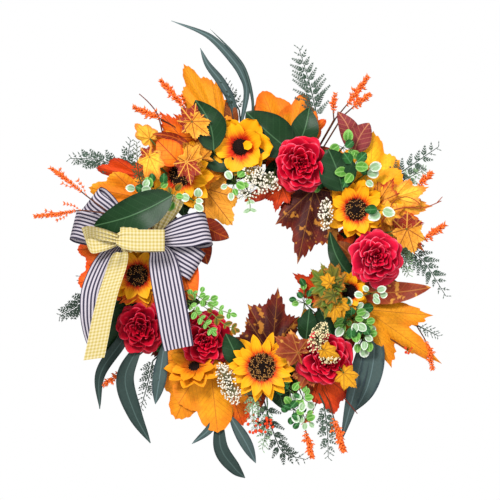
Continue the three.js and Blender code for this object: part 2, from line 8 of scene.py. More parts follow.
import bpy
import numpy as np
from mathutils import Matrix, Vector


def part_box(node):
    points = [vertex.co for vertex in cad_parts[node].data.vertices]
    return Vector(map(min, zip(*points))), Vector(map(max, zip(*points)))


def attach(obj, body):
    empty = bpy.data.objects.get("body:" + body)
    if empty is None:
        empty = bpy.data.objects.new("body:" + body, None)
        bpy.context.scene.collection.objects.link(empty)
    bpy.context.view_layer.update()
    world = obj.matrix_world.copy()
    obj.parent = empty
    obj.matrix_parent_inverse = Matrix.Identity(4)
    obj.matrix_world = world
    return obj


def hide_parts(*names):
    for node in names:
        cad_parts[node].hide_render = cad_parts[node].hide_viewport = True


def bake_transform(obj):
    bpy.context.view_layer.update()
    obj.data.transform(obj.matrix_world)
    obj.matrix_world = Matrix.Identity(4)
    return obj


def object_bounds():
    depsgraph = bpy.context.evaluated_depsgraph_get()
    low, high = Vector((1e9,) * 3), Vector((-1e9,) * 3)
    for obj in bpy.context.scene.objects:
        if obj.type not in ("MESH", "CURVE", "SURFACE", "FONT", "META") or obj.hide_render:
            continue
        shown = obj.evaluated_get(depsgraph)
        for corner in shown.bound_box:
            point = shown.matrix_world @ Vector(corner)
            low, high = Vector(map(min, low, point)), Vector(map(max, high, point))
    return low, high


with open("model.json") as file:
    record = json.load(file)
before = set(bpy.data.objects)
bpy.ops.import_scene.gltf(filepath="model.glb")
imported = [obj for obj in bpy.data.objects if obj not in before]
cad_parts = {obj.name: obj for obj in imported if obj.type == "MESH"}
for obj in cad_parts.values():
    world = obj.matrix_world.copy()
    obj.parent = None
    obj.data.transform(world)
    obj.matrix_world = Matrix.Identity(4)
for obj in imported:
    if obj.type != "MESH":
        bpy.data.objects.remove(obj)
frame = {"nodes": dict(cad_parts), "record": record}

CAD_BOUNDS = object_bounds()
MM = 0.001
RNG = np.random.default_rng(7)
SLOTS = {s["node"]: s["material_slot"] for s in frame["record"]["subparts"]}


# ---------------------------------------------------------------- places taken from the frame

def ring_middle():
    low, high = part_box("vine_strand_1")
    return (low + high) / 2


RING = ring_middle()


def local_box(node):
    """Lowest and highest [x, depth, z] of a CAD node, in millimetres about the ring's centre."""
    low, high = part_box(node)
    first = np.array([low.x - RING.x, -high.y, low.z - RING.z]) / MM
    last = np.array([high.x - RING.x, -low.y, high.z - RING.z]) / MM
    return first, last


def middle_of(node):
    low, high = local_box(node)
    return (low + high) / 2


BUNDLE = local_box("vine_strand_1")
BUNDLE_DEPTH = middle_of("vine_strand_1")[1]
BUNDLE_FRONT = BUNDLE[1][1]
STRAND_RADIUS = 5.9
STRAND_ORBIT = 9.2  # strand centre from bundle centre
RING_RADIUS = BUNDLE[1][0] - STRAND_RADIUS - STRAND_ORBIT
STRAND_TURNS = 2


# ---------------------------------------------------------------- colours

DYE_DEPTH = 1.18  # deepens every colour, because the soft light from all round pales them
WHITE = "ffffff"


def hue(code):
    """The linear colour of a six-figure web colour, dyed a little deeper."""
    shares = np.array([int(code[i:i + 2], 16) for i in (0, 2, 4)]) / 255
    linear = np.where(shares <= 0.04045, shares / 12.92, ((shares + 0.055) / 1.055) ** 2.4)
    return linear ** DYE_DEPTH


def rgba(code):
    return (*hue(code), 1.0)


def hues(codes):
    return [hue(code) for code in codes]


# Leaf palettes: the blade, its rim and its veins
PALETTES = {
    "pumpkin": ("ec9a18", "ea7a16", "cc7418"),
    "amber": ("e88a14", "f0a628", "b0620e"),
    "orange": ("f0861a", "e4601a", "9c3c14"),
    "tangerine": ("f47a1c", "ea6014", "b04a10"),
    "flame": ("dc540f", "bc3a10", "94300a"),
    "golden": ("e39e36", "eeb048", "8c4c16"),
    "yellow": ("f4bf44", "ea9440", "c98428"),
    "ember": ("eea83a", "c8442c", "7c2420"),
    "wine_gold": ("9c2c1e", "84202a", "e8b050"),
    "burgundy": ("4e1a18", "742618", "c98c3a"),
    "rust": ("8e3013", "6a2010", "c46a22"),
    "red": ("b4371a", "9c2414", "d4702c"),
    "dusty": ("8f3b42", "7a2e34", "c78a66"),
    "honey": ("e6a01e", "e28c18", "b9741a"),
    "sunny": ("ffc72c", "fba61e", "e09e1e"),
    "brown": ("8a4a1c", "6c3414", "b87434"),
    "mustard": ("d9a21e", "c58c18", "a87414"),
    "dark": ("234627", "18381e", "587c58"),
    "glossy": ("2d6a30", "1f4f26", "5c9460"),
    "olive": ("7c7828", "c07a26", "4c5020"),
    "moss": ("5c742c", "8c7a26", "7e8c3e"),
    "russet": ("8c3a20", "a4522a", "dca44c"),
    "fresh": ("5f9a3e", "8fbc68", "96c274"),
    "pale": ("98b68e", "e6ece2", "b2caa8"),
    "willow": ("4e605e", "34444a", "6b7f80"),
    "willow_dark": ("3a4c48", "2c3c3a", "566a66"),
}
FERN = "4a5e50"
FERN_DARK = "34463a"
# A paler fern green that paints a highlight over whole fronds
FERN_PAINTED_HIGHLIGHT = "83a07c"
FERN_OLIVE = "56643e"
STEM = "5a6b34"
BROWN_STEM = "6b3f26"
PALE_STEM = "a9a883"
RUSSET_STEM = "a8502a"
TENDRIL = "7d3c30"
HEATHER = "f8813c"
BERRY = "e8562a"
CREAM = "efe9da"
IVORY = "efe2b8"
CALYX = "5c7a34"
VINE = "6b4a30"
TIE = "7a5636"
BARK_DARK = "4a3020"
BARK_LIGHT = "9a7450"
BARK_PATCH = "6d4b32"
WIRE = "4b443d"
WIRE_LIGHT = "6b6258"
STRIPE_INK = "474357"
STRIPE_PALE = "cac3cb"
GINGHAM_CREAM = "dbcfa9"
GINGHAM_YELLOW = "c0ae66"
SPROUT_STEM = "7c9550"
CLUSTER_STEM = "5f7a3c"
SEED_BED = "2a1710"
FLORET = "3d2115"
FLORET_MIDDLE = "22130e"
FLORET_TIP = "b98d55"
# Flower silks: the blade, its rim or middle, and its root; in the peony silks the pink rim is a painted
# highlight
SUN_SILK = ("f9b612", "f28a0e", "cf320c")
SUN_SILK_GOLD = ("f0a622", "ec981a", "d8761a")
PEONY_SILK_AND_HIGHLIGHT = ("de1840", "f8809c", "7c0a20")
PEONY_DARK = ("c81236", "e85c78", "680820")
PEONY_PINK = ("e8224e", "fb92a8", "8a0c2a")


# ---------------------------------------------------------------- shader building

SHEEN = 0.2  # silk and bark reflect little at their surface


class Shader:
    """A node material with one Principled surface."""

    def __init__(self, name, roughness, metallic=0.0):
        self.material = bpy.data.materials.new(name)
        self.material.use_nodes = True
        self.tree = self.material.node_tree
        self.surface = self.tree.nodes["Principled BSDF"]
        self.surface.inputs["Roughness"].default_value = roughness
        self.surface.inputs["Metallic"].default_value = metallic
        self.surface.inputs["Specular IOR Level"].default_value = SHEEN

    def feed(self, socket, value):
        if isinstance(value, bpy.types.NodeSocket):
            self.tree.links.new(value, socket)
        else:
            socket.default_value = value

    def attribute(self, name, output="Vector"):
        node = self.tree.nodes.new("ShaderNodeAttribute")
        node.attribute_name = name
        return node.outputs[output]

    def dye(self, part):
        """The piece's own colour for its body, rim or vein."""
        return self.attribute(part + "_colour", "Color")

    def place_parts(self):
        """The three numbers of the piece's own place."""
        node = self.tree.nodes.new("ShaderNodeSeparateXYZ")
        self.feed(node.inputs[0], self.attribute("place"))
        return node.outputs

    def math(self, operation, first, second=0.0):
        node = self.tree.nodes.new("ShaderNodeMath")
        node.operation = operation
        self.feed(node.inputs[0], first)
        self.feed(node.inputs[1], second)
        return node.outputs[0]

    def jitter(self, value, noise, amount):
        """The value moved up and down by a noise, amount from end to end."""
        shift = self.math("MULTIPLY", self.math("SUBTRACT", noise, 0.5), amount)
        return self.math("ADD", value, shift)

    def step(self, value, low, high, first=0.0, last=1.0):
        """Smoothly from first at low to last at high."""
        node = self.tree.nodes.new("ShaderNodeMapRange")
        node.interpolation_type = "SMOOTHSTEP"
        for socket, number in zip(node.inputs, (value, low, high, first, last)):
            self.feed(socket, number)
        return node.outputs[0]

    def mix(self, factor, first, second):
        node = self.tree.nodes.new("ShaderNodeMix")
        node.data_type = "RGBA"
        self.feed(node.inputs["Factor"], factor)
        self.feed(node.inputs[6], first)
        self.feed(node.inputs[7], second)
        return node.outputs[2]

    def shade(self, colour, amount):
        """The colour made lighter or darker by amount."""
        node = self.tree.nodes.new("ShaderNodeVectorMath")
        node.operation = "SCALE"
        self.feed(node.inputs[0], colour)
        self.feed(node.inputs["Scale"], amount)
        return node.outputs[0]

    def noise(self, scale, detail=3.0, place=None):
        node = self.tree.nodes.new("ShaderNodeTexNoise")
        node.inputs["Scale"].default_value = scale
        node.inputs["Detail"].default_value = detail
        if place is None:
            place = self.tree.nodes.new("ShaderNodeTexCoord").outputs["Object"]
        self.feed(node.inputs["Vector"], place)
        return node.outputs["Fac"]

    def stretched(self, across, along):
        """The piece's own place vector, scaled, for streaks along a petal or blade."""
        node = self.tree.nodes.new("ShaderNodeVectorMath")
        node.operation = "MULTIPLY"
        self.feed(node.inputs[0], self.attribute("place"))
        node.inputs[1].default_value = (across, along, 1.0)
        return node.outputs[0]

    def bump(self, height, strength, distance):
        node = self.tree.nodes.new("ShaderNodeBump")
        node.inputs["Strength"].default_value = strength
        node.inputs["Distance"].default_value = distance
        self.feed(node.inputs["Height"], height)
        self.tree.links.new(node.outputs[0], self.surface.inputs["Normal"])

    def paint(self, colour):
        self.feed(self.surface.inputs["Base Color"], colour)
        return self.material


def leaf_material(name, roughness, mottle, side_pitch, side_strength=0.6, gilding=0.0):
    """Printed silk: place holds the distance from a main vein, the distance along it and the rim."""
    shader = Shader(name, roughness)
    across, along, rim = shader.place_parts()
    patches = shader.noise(70, 4)
    grain = shader.noise(420)
    rim = shader.jitter(rim, patches, 1.5)
    colour = shader.mix(shader.step(rim, 0.4, 1.05), shader.dye("body"), shader.dye("rim"))
    colour = shader.shade(colour, shader.step(grain, 0.25, 0.75, 1 - mottle, 1 + mottle))
    main = shader.step(across, 0.35, 0.95, 0.3 if gilding else 0.85, 0.0)
    branch = shader.math("SUBTRACT", along, shader.math("MULTIPLY", across, 0.85))
    branch = shader.math("PINGPONG", branch, side_pitch)
    branch = shader.step(branch, 0.12, 0.55, side_strength, 0.0)
    fine = shader.math("ADD", along, shader.math("MULTIPLY", across, 1.1))
    fine = shader.math("PINGPONG", fine, side_pitch * 0.38)
    fine = shader.step(fine, 0.05, 0.3, side_strength / 2, 0.0)
    veins = shader.math("MAXIMUM", main, shader.math("MAXIMUM", branch, fine))
    if gilding:
        veins = shader.math("MAXIMUM", veins, shader.step(shader.noise(90, 5), 0.56, 0.62, 0.0, gilding))
    colour = shader.mix(veins, colour, shader.dye("vein"))
    relief = shader.math("SUBTRACT", shader.math("MULTIPLY", grain, 0.4), veins)
    shader.bump(relief, strength=0.35, distance=0.0006)
    return shader.paint(colour)


def petal_material():
    """Sunflower petals: orange-red at the root, yellow along the blade, with fine streaks."""
    shader = Shader("sunflower_silk", roughness=0.6)
    _, along, _ = shader.place_parts()
    streaks = shader.noise(1.0, place=shader.stretched(1.1, 1.6))
    reach = shader.jitter(along, streaks, 0.55)
    colour = shader.mix(shader.step(reach, 0.14, 0.46), shader.dye("vein"), shader.dye("rim"))
    colour = shader.mix(shader.step(reach, 0.28, 0.6), colour, shader.dye("body"))
    colour = shader.shade(colour, shader.step(streaks, 0.3, 0.7, 0.93, 1.06))
    shader.bump(streaks, strength=0.3, distance=0.0006)
    return shader.paint(colour)


def peony_material():
    """Peony petals: deep crimson at the root and a paler, pinker rim that is a painted highlight."""
    shader = Shader("peony_silk_painted_highlight", roughness=0.42)
    _, along, _ = shader.place_parts()
    streaks = shader.noise(1.0, place=shader.stretched(5.0, 2.0))
    reach = shader.jitter(along, streaks, 0.3)
    colour = shader.mix(shader.step(reach, 0.25, 0.8), shader.dye("vein"), shader.dye("body"))
    # The pale pink rim is a painted highlight along each petal's edge
    colour = shader.mix(shader.step(reach, 0.86, 1.03), colour, shader.dye("rim"))
    shader.bump(streaks, strength=0.25, distance=0.0008)
    return shader.paint(colour)


def plain_material(name, roughness, mottle=0.18):
    """One colour for each part of the piece, with a little mottling."""
    shader = Shader(name, roughness)
    grain = shader.noise(500)
    colour = shader.shade(shader.dye("body"), shader.step(grain, 0.3, 0.7, 1 - mottle, 1 + mottle))
    shader.bump(grain, strength=0.3, distance=0.0005)
    return shader.paint(colour)


def bark_material():
    """Grapevine bark: place runs round and along each vine."""
    shader = Shader("grapevine_bark", roughness=0.85)
    fibres = shader.noise(1.0, 5, shader.stretched(2.6, 0.05))
    patches = shader.noise(45)
    colour = shader.mix(shader.step(fibres, 0.3, 0.7), rgba(BARK_DARK), rgba(BARK_LIGHT))
    colour = shader.mix(shader.step(patches, 0.45, 0.7, 0.0, 0.55), colour, rgba(BARK_PATCH))
    shader.bump(fibres, strength=0.8, distance=0.001)
    return shader.paint(colour)


def wire_material():
    """Dark florist's wire, a little uneven in tone."""
    shader = Shader("florist_wire", roughness=0.45, metallic=0.7)
    colour = shader.mix(shader.noise(300, 2), rgba(WIRE), rgba(WIRE_LIGHT))
    return shader.paint(colour)


def weave(shader, colour, stretch, tones):
    """Paints a ribbon, with uneven threads along it and the bumps of its weave."""
    across, along, _ = shader.place_parts()
    slub = shader.noise(1.0, 2, shader.stretched(*stretch))
    colour = shader.shade(colour, shader.step(slub, 0.3, 0.7, *tones))
    threads = shader.math("MAXIMUM", shader.math("PINGPONG", across, THREAD_PITCH),
                          shader.math("PINGPONG", along, THREAD_PITCH))
    shader.bump(threads, strength=0.4, distance=0.0004)
    return shader.paint(colour)


def stripe_material():
    """Ticking ribbon: slate stripes on lilac white, of even width."""
    shader = Shader("ticking_ribbon", roughness=0.75)
    across = shader.place_parts()[0]
    half = STRIPE_PITCH / 2
    light = shader.step(shader.math("PINGPONG", across, half), 0.42 * half, 0.58 * half)
    colour = shader.mix(light, rgba(STRIPE_INK), rgba(STRIPE_PALE))
    return weave(shader, colour, (4.0, 0.4), (0.9, 1.08))


def gingham_material():
    """Gingham ribbon: soft yellow checks on cream."""
    shader = Shader("gingham_ribbon", roughness=0.75)
    across, along, _ = shader.place_parts()
    low, high = 0.17 * CHECK_PITCH, 0.33 * CHECK_PITCH
    warp, weft = (shader.step(shader.math("PINGPONG", threads, CHECK_PITCH / 2), low, high)
                  for threads in (across, along))
    both = shader.math("MULTIPLY", shader.math("ADD", warp, weft), 0.5)
    colour = shader.mix(both, rgba(GINGHAM_CREAM), rgba(GINGHAM_YELLOW))
    return weave(shader, colour, (2.0, 2.0), (0.94, 1.04))


STRIPE_PITCH = 4.6  # the ribbons' patterns, in millimetres
CHECK_PITCH = 4.2
THREAD_PITCH = 0.22
MATERIALS = {
    "leaf": leaf_material("printed_leaf_silk", roughness=0.62, mottle=0.1, side_pitch=3.6),
    "gilt": leaf_material("gilded_leaf_silk", roughness=0.55, mottle=0.1, side_pitch=6.0,
                          side_strength=0.16, gilding=0.75),
    "gloss": leaf_material("waxed_leaf_silk", roughness=0.4, mottle=0.08, side_pitch=5.0,
                           side_strength=0.16),
    "blade": leaf_material("willow_blade", roughness=0.6, mottle=0.07, side_pitch=60.0),
    "petal": petal_material(),
    "peony": peony_material(),
    "seed": plain_material("seed_disc", roughness=0.85, mottle=0.25),
    "sprig": plain_material("moulded_sprig", roughness=0.6),
    "bark": bark_material(),
    "wire": wire_material(),
    "stripe": stripe_material(),
    "gingham": gingham_material(),
}


# ---------------------------------------------------------------- shapes

VALUES = {"body_colour": 4, "rim_colour": 4, "vein_colour": 4, "place": 3}  # numbers in each


def spread(value, count, width):
    """One row of numbers for each of count points, from one row or from as many as the points."""
    value = np.asarray(value, float)
    if value.ndim == 1:
        value = np.tile(value, (count, 1))
    if value.shape[1] < width:
        value = np.hstack([value, np.ones((count, width - value.shape[1]))])
    return value


class Shape:
    """One visual piece while it is being built. Its parts' depths count from its layer."""

    def __init__(self, layer=0):
        self.layer = layer
        self.points = []
        self.faces = []
        self.materials = []
        self.values = {name: [] for name in VALUES}
        self.count = 0

    def add(self, points, faces, material, body, rim=None, vein=None, place=(0, 0, 0)):
        points = np.asarray(points, float).reshape(-1, 3)
        self.points.append(points)
        self.faces += [[self.count + i for i in reversed(face)] for face in faces]
        self.materials += [material] * len(faces)
        self.count += len(points)
        given = (body, body if rim is None else rim, body if vein is None else vein, place)
        for (name, width), value in zip(VALUES.items(), given):
            self.values[name].append(spread(value, len(points), width))

    def finish(self, name, stands_for, body="wreath"):
        """Stands_for is the CAD node that the piece replaces or, for trim, its material slot."""
        places = np.vstack(self.points)
        points = np.column_stack([places[:, 0], -places[:, 1], places[:, 2]]) * MM
        points += np.array([RING.x, 0.0, RING.z])
        mesh = bpy.data.meshes.new(name)
        mesh.from_pydata(points.tolist(), [], self.faces)
        used = sorted(set(self.materials))
        for material in used:
            mesh.materials.append(MATERIALS[material])
        mesh.polygons.foreach_set("material_index", [used.index(m) for m in self.materials])
        mesh.polygons.foreach_set("use_smooth", [True] * len(self.faces))
        for value, width in VALUES.items():
            kind, field = ("FLOAT_COLOR", "color") if width == 4 else ("FLOAT_VECTOR", "vector")
            layer = mesh.attributes.new(value, kind, "POINT")
            layer.data.foreach_set(field, np.vstack(self.values[value]).ravel())
        mesh.update()
        piece = bpy.data.objects.new(name, mesh)
        bpy.context.scene.collection.objects.link(piece)
        if body is not None:
            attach(piece, body)
        if stands_for in SLOTS:
            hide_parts(stands_for)
        return piece


def grid_faces(rows, columns, wraps=False):
    """The quads of a grid of rows times columns points, closed round its columns if it wraps."""
    faces = []
    for i in range(rows - 1):
        for j in range(columns if wraps else columns - 1):
            k = (j + 1) % columns
            faces.append((i * columns + j, i * columns + k, (i + 1) * columns + k, (i + 1) * columns + j))
    return faces


def grid(rows, columns):
    """Shares from 0 to 1 down the rows and from -1 to 1 across the columns."""
    return np.meshgrid(np.linspace(0, 1, rows), np.linspace(-1, 1, columns), indexing="ij")


def columns_of(*values):
    """Equal grids of numbers as the columns of one table, a row for each point."""
    return np.column_stack([np.asarray(value, float).ravel() for value in values])


def lifted(path, depth, rise):
    """A flat path [x, z] at a depth, with a rise worked out from the share of the way along it."""
    last = len(path) - 1
    return [[x, depth + rise(i / last), z] for i, (x, z) in enumerate(path)]


def unit(vector):
    vector = np.asarray(vector, float)
    return vector / max(np.linalg.norm(vector), 1e-9)


def smooth_path(points, count):
    """A Catmull-Rom curve through the points, at count evenly spaced parameters."""
    points = np.asarray(points, float)
    padded = np.vstack([2 * points[0] - points[1], points, 2 * points[-1] - points[-2]])
    result = []
    for place in np.linspace(0, len(points) - 1, count):
        i = min(int(place), len(points) - 2)
        t = place - i
        a, b, c, d = padded[i:i + 4]
        result.append(0.5 * (2 * b + (c - a) * t + (2 * a - 5 * b + 4 * c - d) * t ** 2
                             + (3 * b - a - 3 * c + d) * t ** 3))
    return np.array(result)


def path_lengths(path):
    steps = np.linalg.norm(np.diff(path, axis=0), axis=1)
    return np.concatenate([[0], np.cumsum(steps)])


def tube(shape, path, radius, colour, sides=5, material="sprig", closed=False):
    """A round rod along a path. Its radius is one number, or one for each point."""
    path = np.asarray(path, float)
    count = len(path)
    radii = np.broadcast_to(np.asarray(radius, float), (count,))
    if closed:
        ahead = np.roll(path, -1, axis=0) - np.roll(path, 1, axis=0)
    else:
        ahead = np.gradient(path, axis=0)
    ahead /= np.linalg.norm(ahead, axis=1, keepdims=True)
    side = np.cross(ahead[0], [0.3, 1, 0.1])
    lengths = path_lengths(path)
    points = []
    places = []
    for i in range(count):
        side = unit(side - np.dot(side, ahead[i]) * ahead[i])
        other = np.cross(ahead[i], side)
        for k in range(sides):
            angle = 2 * math.pi * k / sides
            points.append(path[i] + radii[i] * (math.cos(angle) * side + math.sin(angle) * other))
            places.append((radii[i] * angle, lengths[i], 0))
    faces = grid_faces(count, sides, wraps=True)
    if closed:
        last = (count - 1) * sides
        start = points[:sides]
        shift = int(np.argmin([np.linalg.norm(p - points[last]) for p in start]))
        for k in range(sides):
            faces.append((last + k, last + (k + 1) % sides, (k + 1 + shift) % sides, (k + shift) % sides))
    else:
        faces.append(tuple(reversed(range(sides))))
        faces.append(tuple(range((count - 1) * sides, count * sides)))
    shape.add(points, faces, material, hue(colour), place=places)


def bud(shape, place, direction, length, radius, colour, material="sprig"):
    """A small pointed bud: two pyramids on one five-sided waist."""
    ahead = unit(direction)
    side = unit(np.cross(ahead, [0.31, 0.17, 0.93]))
    other = np.cross(ahead, side)
    place = np.asarray(place, float)
    points = [place]
    for k in range(5):
        angle = 2 * math.pi * k / 5
        outward = radius * (math.cos(angle) * side + math.sin(angle) * other)
        points.append(place + ahead * length * 0.45 + outward)
    points.append(place + ahead * length)
    faces = [(0, 1 + (k + 1) % 5, 1 + k) for k in range(5)] + [(6, 1 + k, 1 + (k + 1) % 5) for k in range(5)]
    shape.add(points, faces, material, hue(colour) * RNG.uniform(0.8, 1.15))


def ring_root(place):
    """The point at the front of the vine bundle nearest to a place, where stems are pushed in."""
    x, z = place[0], place[-1]
    scale = RING_RADIUS / max(math.hypot(x, z), 1.0)
    return np.array([x * scale, BUNDLE_FRONT - 4, z * scale])


def stem_to_ring(shape, place, radius=1.0, colour=STEM):
    """A stem from a place on the wreath back to the vine."""
    place = np.asarray(place, float)
    root = ring_root(place)
    middle = (place + root) / 2
    middle[1] = 0.75 * place[1] + 0.25 * root[1] - 1.5
    tube(shape, smooth_path([root, middle, place], 7), radius, colour)


# ---------------------------------------------------------------- leaves

def leaf_axes(base, tip, depths):
    """Origin, length and the directions across, along and out of a leaf lying between two points."""
    origin = np.array([base[0], depths[0], base[1]])
    end = np.array([tip[0], depths[1], tip[1]])
    along = unit(end - origin)
    across = unit([along[2], 0, -along[0]])
    out = unit(np.cross(across, along))
    if out[1] < 0:
        out = -out
    return origin, np.linalg.norm(end - origin), across, along, out


def lay_leaf(shape, axes, x, y, height, faces, material, palette, vein_place):
    """Adds a leaf whose points are x across and y along it, plus a height out of its plane."""
    if palette in ("burgundy", "russet"):
        material = "gilt"
    origin, _, across, along, out = axes
    x, y, height = (np.ravel(value)[:, None] for value in (x, y, height))
    points = origin + x * across + y * along + height * out
    body, rim, vein = hues(PALETTES[palette])
    tone = RNG.uniform(0.93, 1.07)
    shape.add(points, faces, material, body * tone, rim * tone, vein * tone, vein_place)


CURL = -0.1  # how far a leaf's end bends back, as a share of its length
LOBES = [1.0, 0.88, 0.7, 0.46, 0.16]  # reach of the maple's lobes at 0, 45, 90, 135 and 180 degrees
LOBE_ANGLE = 45
SAMPLES = 160  # points round a maple's outline, a whole number for each half lobe
MAPLE_RINGS = 8
MAPLE_TEETH = 3
WIDEST_LOBE = max(LOBES[2], LOBES[1] * math.sin(math.radians(LOBE_ANGLE)))


def maple_rim(fullness):
    """How far a lobed leaf's rim is from its stalk, all the way round, as shares of its length."""
    lobes = np.array([LOBES[min(k, 8 - k)] * RNG.uniform(0.9, 1.1) for k in range(8)])
    lobes[0] = LOBES[0]
    degrees = np.arange(SAMPLES) * 360 / SAMPLES
    nearest = np.round(degrees / LOBE_ANGLE).astype(int)
    off = (degrees - nearest * LOBE_ANGLE) / (LOBE_ANGLE / 2)
    high = lobes[nearest % 8]
    low = fullness * np.minimum(high, lobes[(nearest + np.where(off > 0, 1, -1)) % 8])
    off = np.abs(off)
    round_lobed = fullness > 0.85
    reach = low + (high - low) * (1 - off ** (2.2 if round_lobed else 1.3))
    sharpness = 4 * (1 - fullness) if round_lobed else 1
    scallops = 0.035 * np.cos(2 * math.pi * MAPLE_TEETH * off) + 0.07 * np.exp(-off / 0.14)
    rough = RNG.uniform(-0.015, 0.015, SAMPLES)
    return reach * (1 + sharpness * (scallops * (high > 0.3) + rough))


def maple(shape, base, tip, width, depths, palette, curl=CURL, fullness=0.8):
    """A lobed leaf with its stalk at base and its middle lobe's point at tip."""
    axes = leaf_axes(base, tip, [shape.layer + depth for depth in depths])
    length = axes[1]
    stretch = width / (2 * WIDEST_LOBE * length)
    phase = RNG.uniform(0, 2 * math.pi)
    reaches = maple_rim(fullness)
    shares = np.linspace(0, 1, MAPLE_RINGS + 1)[1:] ** 0.8
    share, angle = np.meshgrid(shares, np.radians(np.arange(SAMPLES) * 360 / SAMPLES), indexing="ij")
    distance = share * reaches[None, :] * length
    fold = np.abs((np.degrees(angle) + LOBE_ANGLE / 2) % LOBE_ANGLE - LOBE_ANGLE / 2)
    crease = np.cos(np.radians(fold) * 8) * share * 0.036
    wave = 0.045 * np.sin(3 * angle + phase) * share ** 2
    wave = wave + 0.02 * np.sin(7 * share + 2 * angle - phase) * share
    height = length * (crease + curl * (distance / length) ** 2 + wave)
    fold = np.radians(fold)
    vein_place = columns_of(distance * np.sin(fold), distance * np.cos(fold), share ** 2)
    x, y, height = (np.append(0, values) for values in
                    ((distance * np.sin(angle)).ravel() * stretch, distance * np.cos(angle), height))
    faces = [tuple(1 + i for i in face) for face in grid_faces(MAPLE_RINGS, SAMPLES, wraps=True)]
    faces += [(0, 1 + (k + 1) % SAMPLES, 1 + k) for k in range(SAMPLES)]
    lay_leaf(shape, axes, x, y, height, faces, "leaf", palette, np.vstack([[0, 0, 0], vein_place]))
    stem_to_ring(shape, axes[0])


def oval(shape, base, tip, width, depths, palette, curl=CURL, bow=0.0, material="leaf", stalk=True):
    """A plain pointed leaf, folded a little along its midrib. Bow bends it sideways."""
    rows, columns = 22, 9
    axes = leaf_axes(base, tip, [shape.layer + depth for depth in depths])
    length = axes[1]
    t, v = grid(rows, columns)
    half = width / 2 * np.clip(np.sin(np.pi * t ** 0.8), 0, 1) ** 0.75
    wave = RNG.uniform(0, 2 * math.pi)
    height = 0.12 * np.abs(v) * half + curl * length * (t - 0.5) ** 2 - curl * length * 0.25
    height = height + 0.03 * length * np.sin(6 * t + wave) * v + 0.012 * length * np.sin(11 * t - wave)
    vein_place = columns_of(np.abs(v * half), t * length, np.maximum(v ** 2, t ** 4))
    lay_leaf(shape, axes, v * half + bow * length * np.sin(np.pi * t), t * length, height,
             grid_faces(rows, columns), material, palette, vein_place)
    if stalk:
        stem_to_ring(shape, axes[0])


BLADE_SETBACK = 2  # how far a blade lies behind its layer


def blade(shape, path, width, palette):
    """A long willow-like blade along a flat path, with a crease down its middle."""
    rows, columns = 40, 7
    depth = shape.layer - BLADE_SETBACK
    spine = smooth_path(lifted(path, depth, lambda share: 6 * math.sin(math.pi * share)), rows)
    ahead = np.gradient(spine, axis=0)
    across = np.column_stack([ahead[:, 2], np.zeros(rows), -ahead[:, 0]])
    across /= np.linalg.norm(across, axis=1, keepdims=True)
    t, v = grid(rows, columns)
    half = width / 2 * np.clip(np.sin(np.pi * (0.06 + 0.94 * t ** 0.9)), 0.03, 1) ** 0.8
    points = spine[:, None, :] + (v * half)[:, :, None] * across[:, None, :]
    points[:, :, 1] += np.abs(v) * half * 0.22
    lengths = path_lengths(spine)[:, None] + 0 * v
    body, rim, vein = hues(PALETTES[palette])
    tone = RNG.uniform(0.9, 1.1)
    shape.add(points, grid_faces(rows, columns), "blade", body * tone, rim * tone, vein * tone,
              columns_of(np.abs(v) * half, lengths, v ** 2))
    stem_to_ring(shape, spine[0], 1.3)


# ---------------------------------------------------------------- sprays

LEAFLET_PITCH = 2.7
LEAFLET_LENGTH = 6.4
RIB_SWEEP = 0.95  # how much a fern's ribs lean toward its tip


def leaflet(shape, place, direction, length, width, colour):
    """One small pointed leaflet of four points."""
    direction = unit(direction)
    side = unit([direction[2], 0, -direction[0]])
    middle = place + direction * length * 0.45
    lift = np.array([0, 0.25 * width, 0])
    points = [place, middle + side * width / 2 + lift, place + direction * length,
              middle - side * width / 2 + lift]
    tone = RNG.uniform(0.85, 1.15)
    shape.add(points, [(0, 1, 2, 3)], "sprig", hue(colour) * tone)


def frond(shape, path, reach, depth, colour, pairs=9, leaf=1.0):
    """A fern frond: a stem with side ribs, widest low down, and small leaflets on each rib."""
    depth = shape.layer + depth
    spine = smooth_path(lifted(path, depth, lambda share: 4 * math.sin(2.2 * share)), 3 * pairs)
    tube(shape, spine, np.linspace(0.9, 0.4, len(spine)), colour, sides=4)
    ahead = np.gradient(spine, axis=0)
    for i in range(pairs):
        at = 3 * i + 2
        share = (i + 0.5) / pairs
        rib_length = reach / 2 * 1.5 * (share + 0.12) ** 0.4 * (1 - share) ** 0.8
        forward = unit(ahead[at])
        sideways = unit([forward[2], 0, -forward[0]])
        for side in (-1, 1):
            lean = forward * RIB_SWEEP * RNG.uniform(0.6, 1.3)
            direction = unit(lean + sideways * side + [0, RNG.uniform(-0.1, 0.4), 0])
            length = rib_length * RNG.uniform(0.75, 1.15)
            foot = spine[at - (1 if side > 0 else 0)]
            tube(shape, [foot, foot + direction * length], [0.4, 0.25], colour, sides=3)
            steps = max(2, int(length / LEAFLET_PITCH))
            for k in range(steps):
                place = foot + direction * length * (k + 0.7) / steps
                size = leaf * LEAFLET_LENGTH * (1.1 - 0.7 * (k + 1) / steps) * min(1, length / 12)
                for turn in (-1, 1):
                    aside = np.array([direction[2], 0.15, -direction[0]])
                    tip = unit(direction + turn * 0.7 * RNG.uniform(0.8, 1.3) * aside)
                    leaflet(shape, place, tip, size, 0.4 * size, colour)
            leaflet(shape, foot + direction * length * 0.9, direction, 4.0, 1.3, colour)
    stem_to_ring(shape, spine[0], 1.0, colour)


BUD_PITCH = 2.6
SPIRAL_TURN = 2.4  # radians from one ring of buds, or one small leaf, to the next


def bud_run(shape, spine, sizes, colour):
    """Rings of four buds that point up a stem, one ring at each point of the spine."""
    ahead = np.gradient(spine, axis=0)
    for i, size in enumerate(sizes):
        forward = unit(ahead[i])
        sideways = unit([-forward[2], 0, forward[0]])
        for k in range(4):
            turn = SPIRAL_TURN * i + math.pi * k / 2
            outward = sideways * math.cos(turn) + np.array([0, math.sin(turn), 0])
            bud(shape, spine[i], forward * 1.1 + outward, size * RNG.uniform(0.6, 1.1),
                size * RNG.uniform(0.16, 0.24), colour)


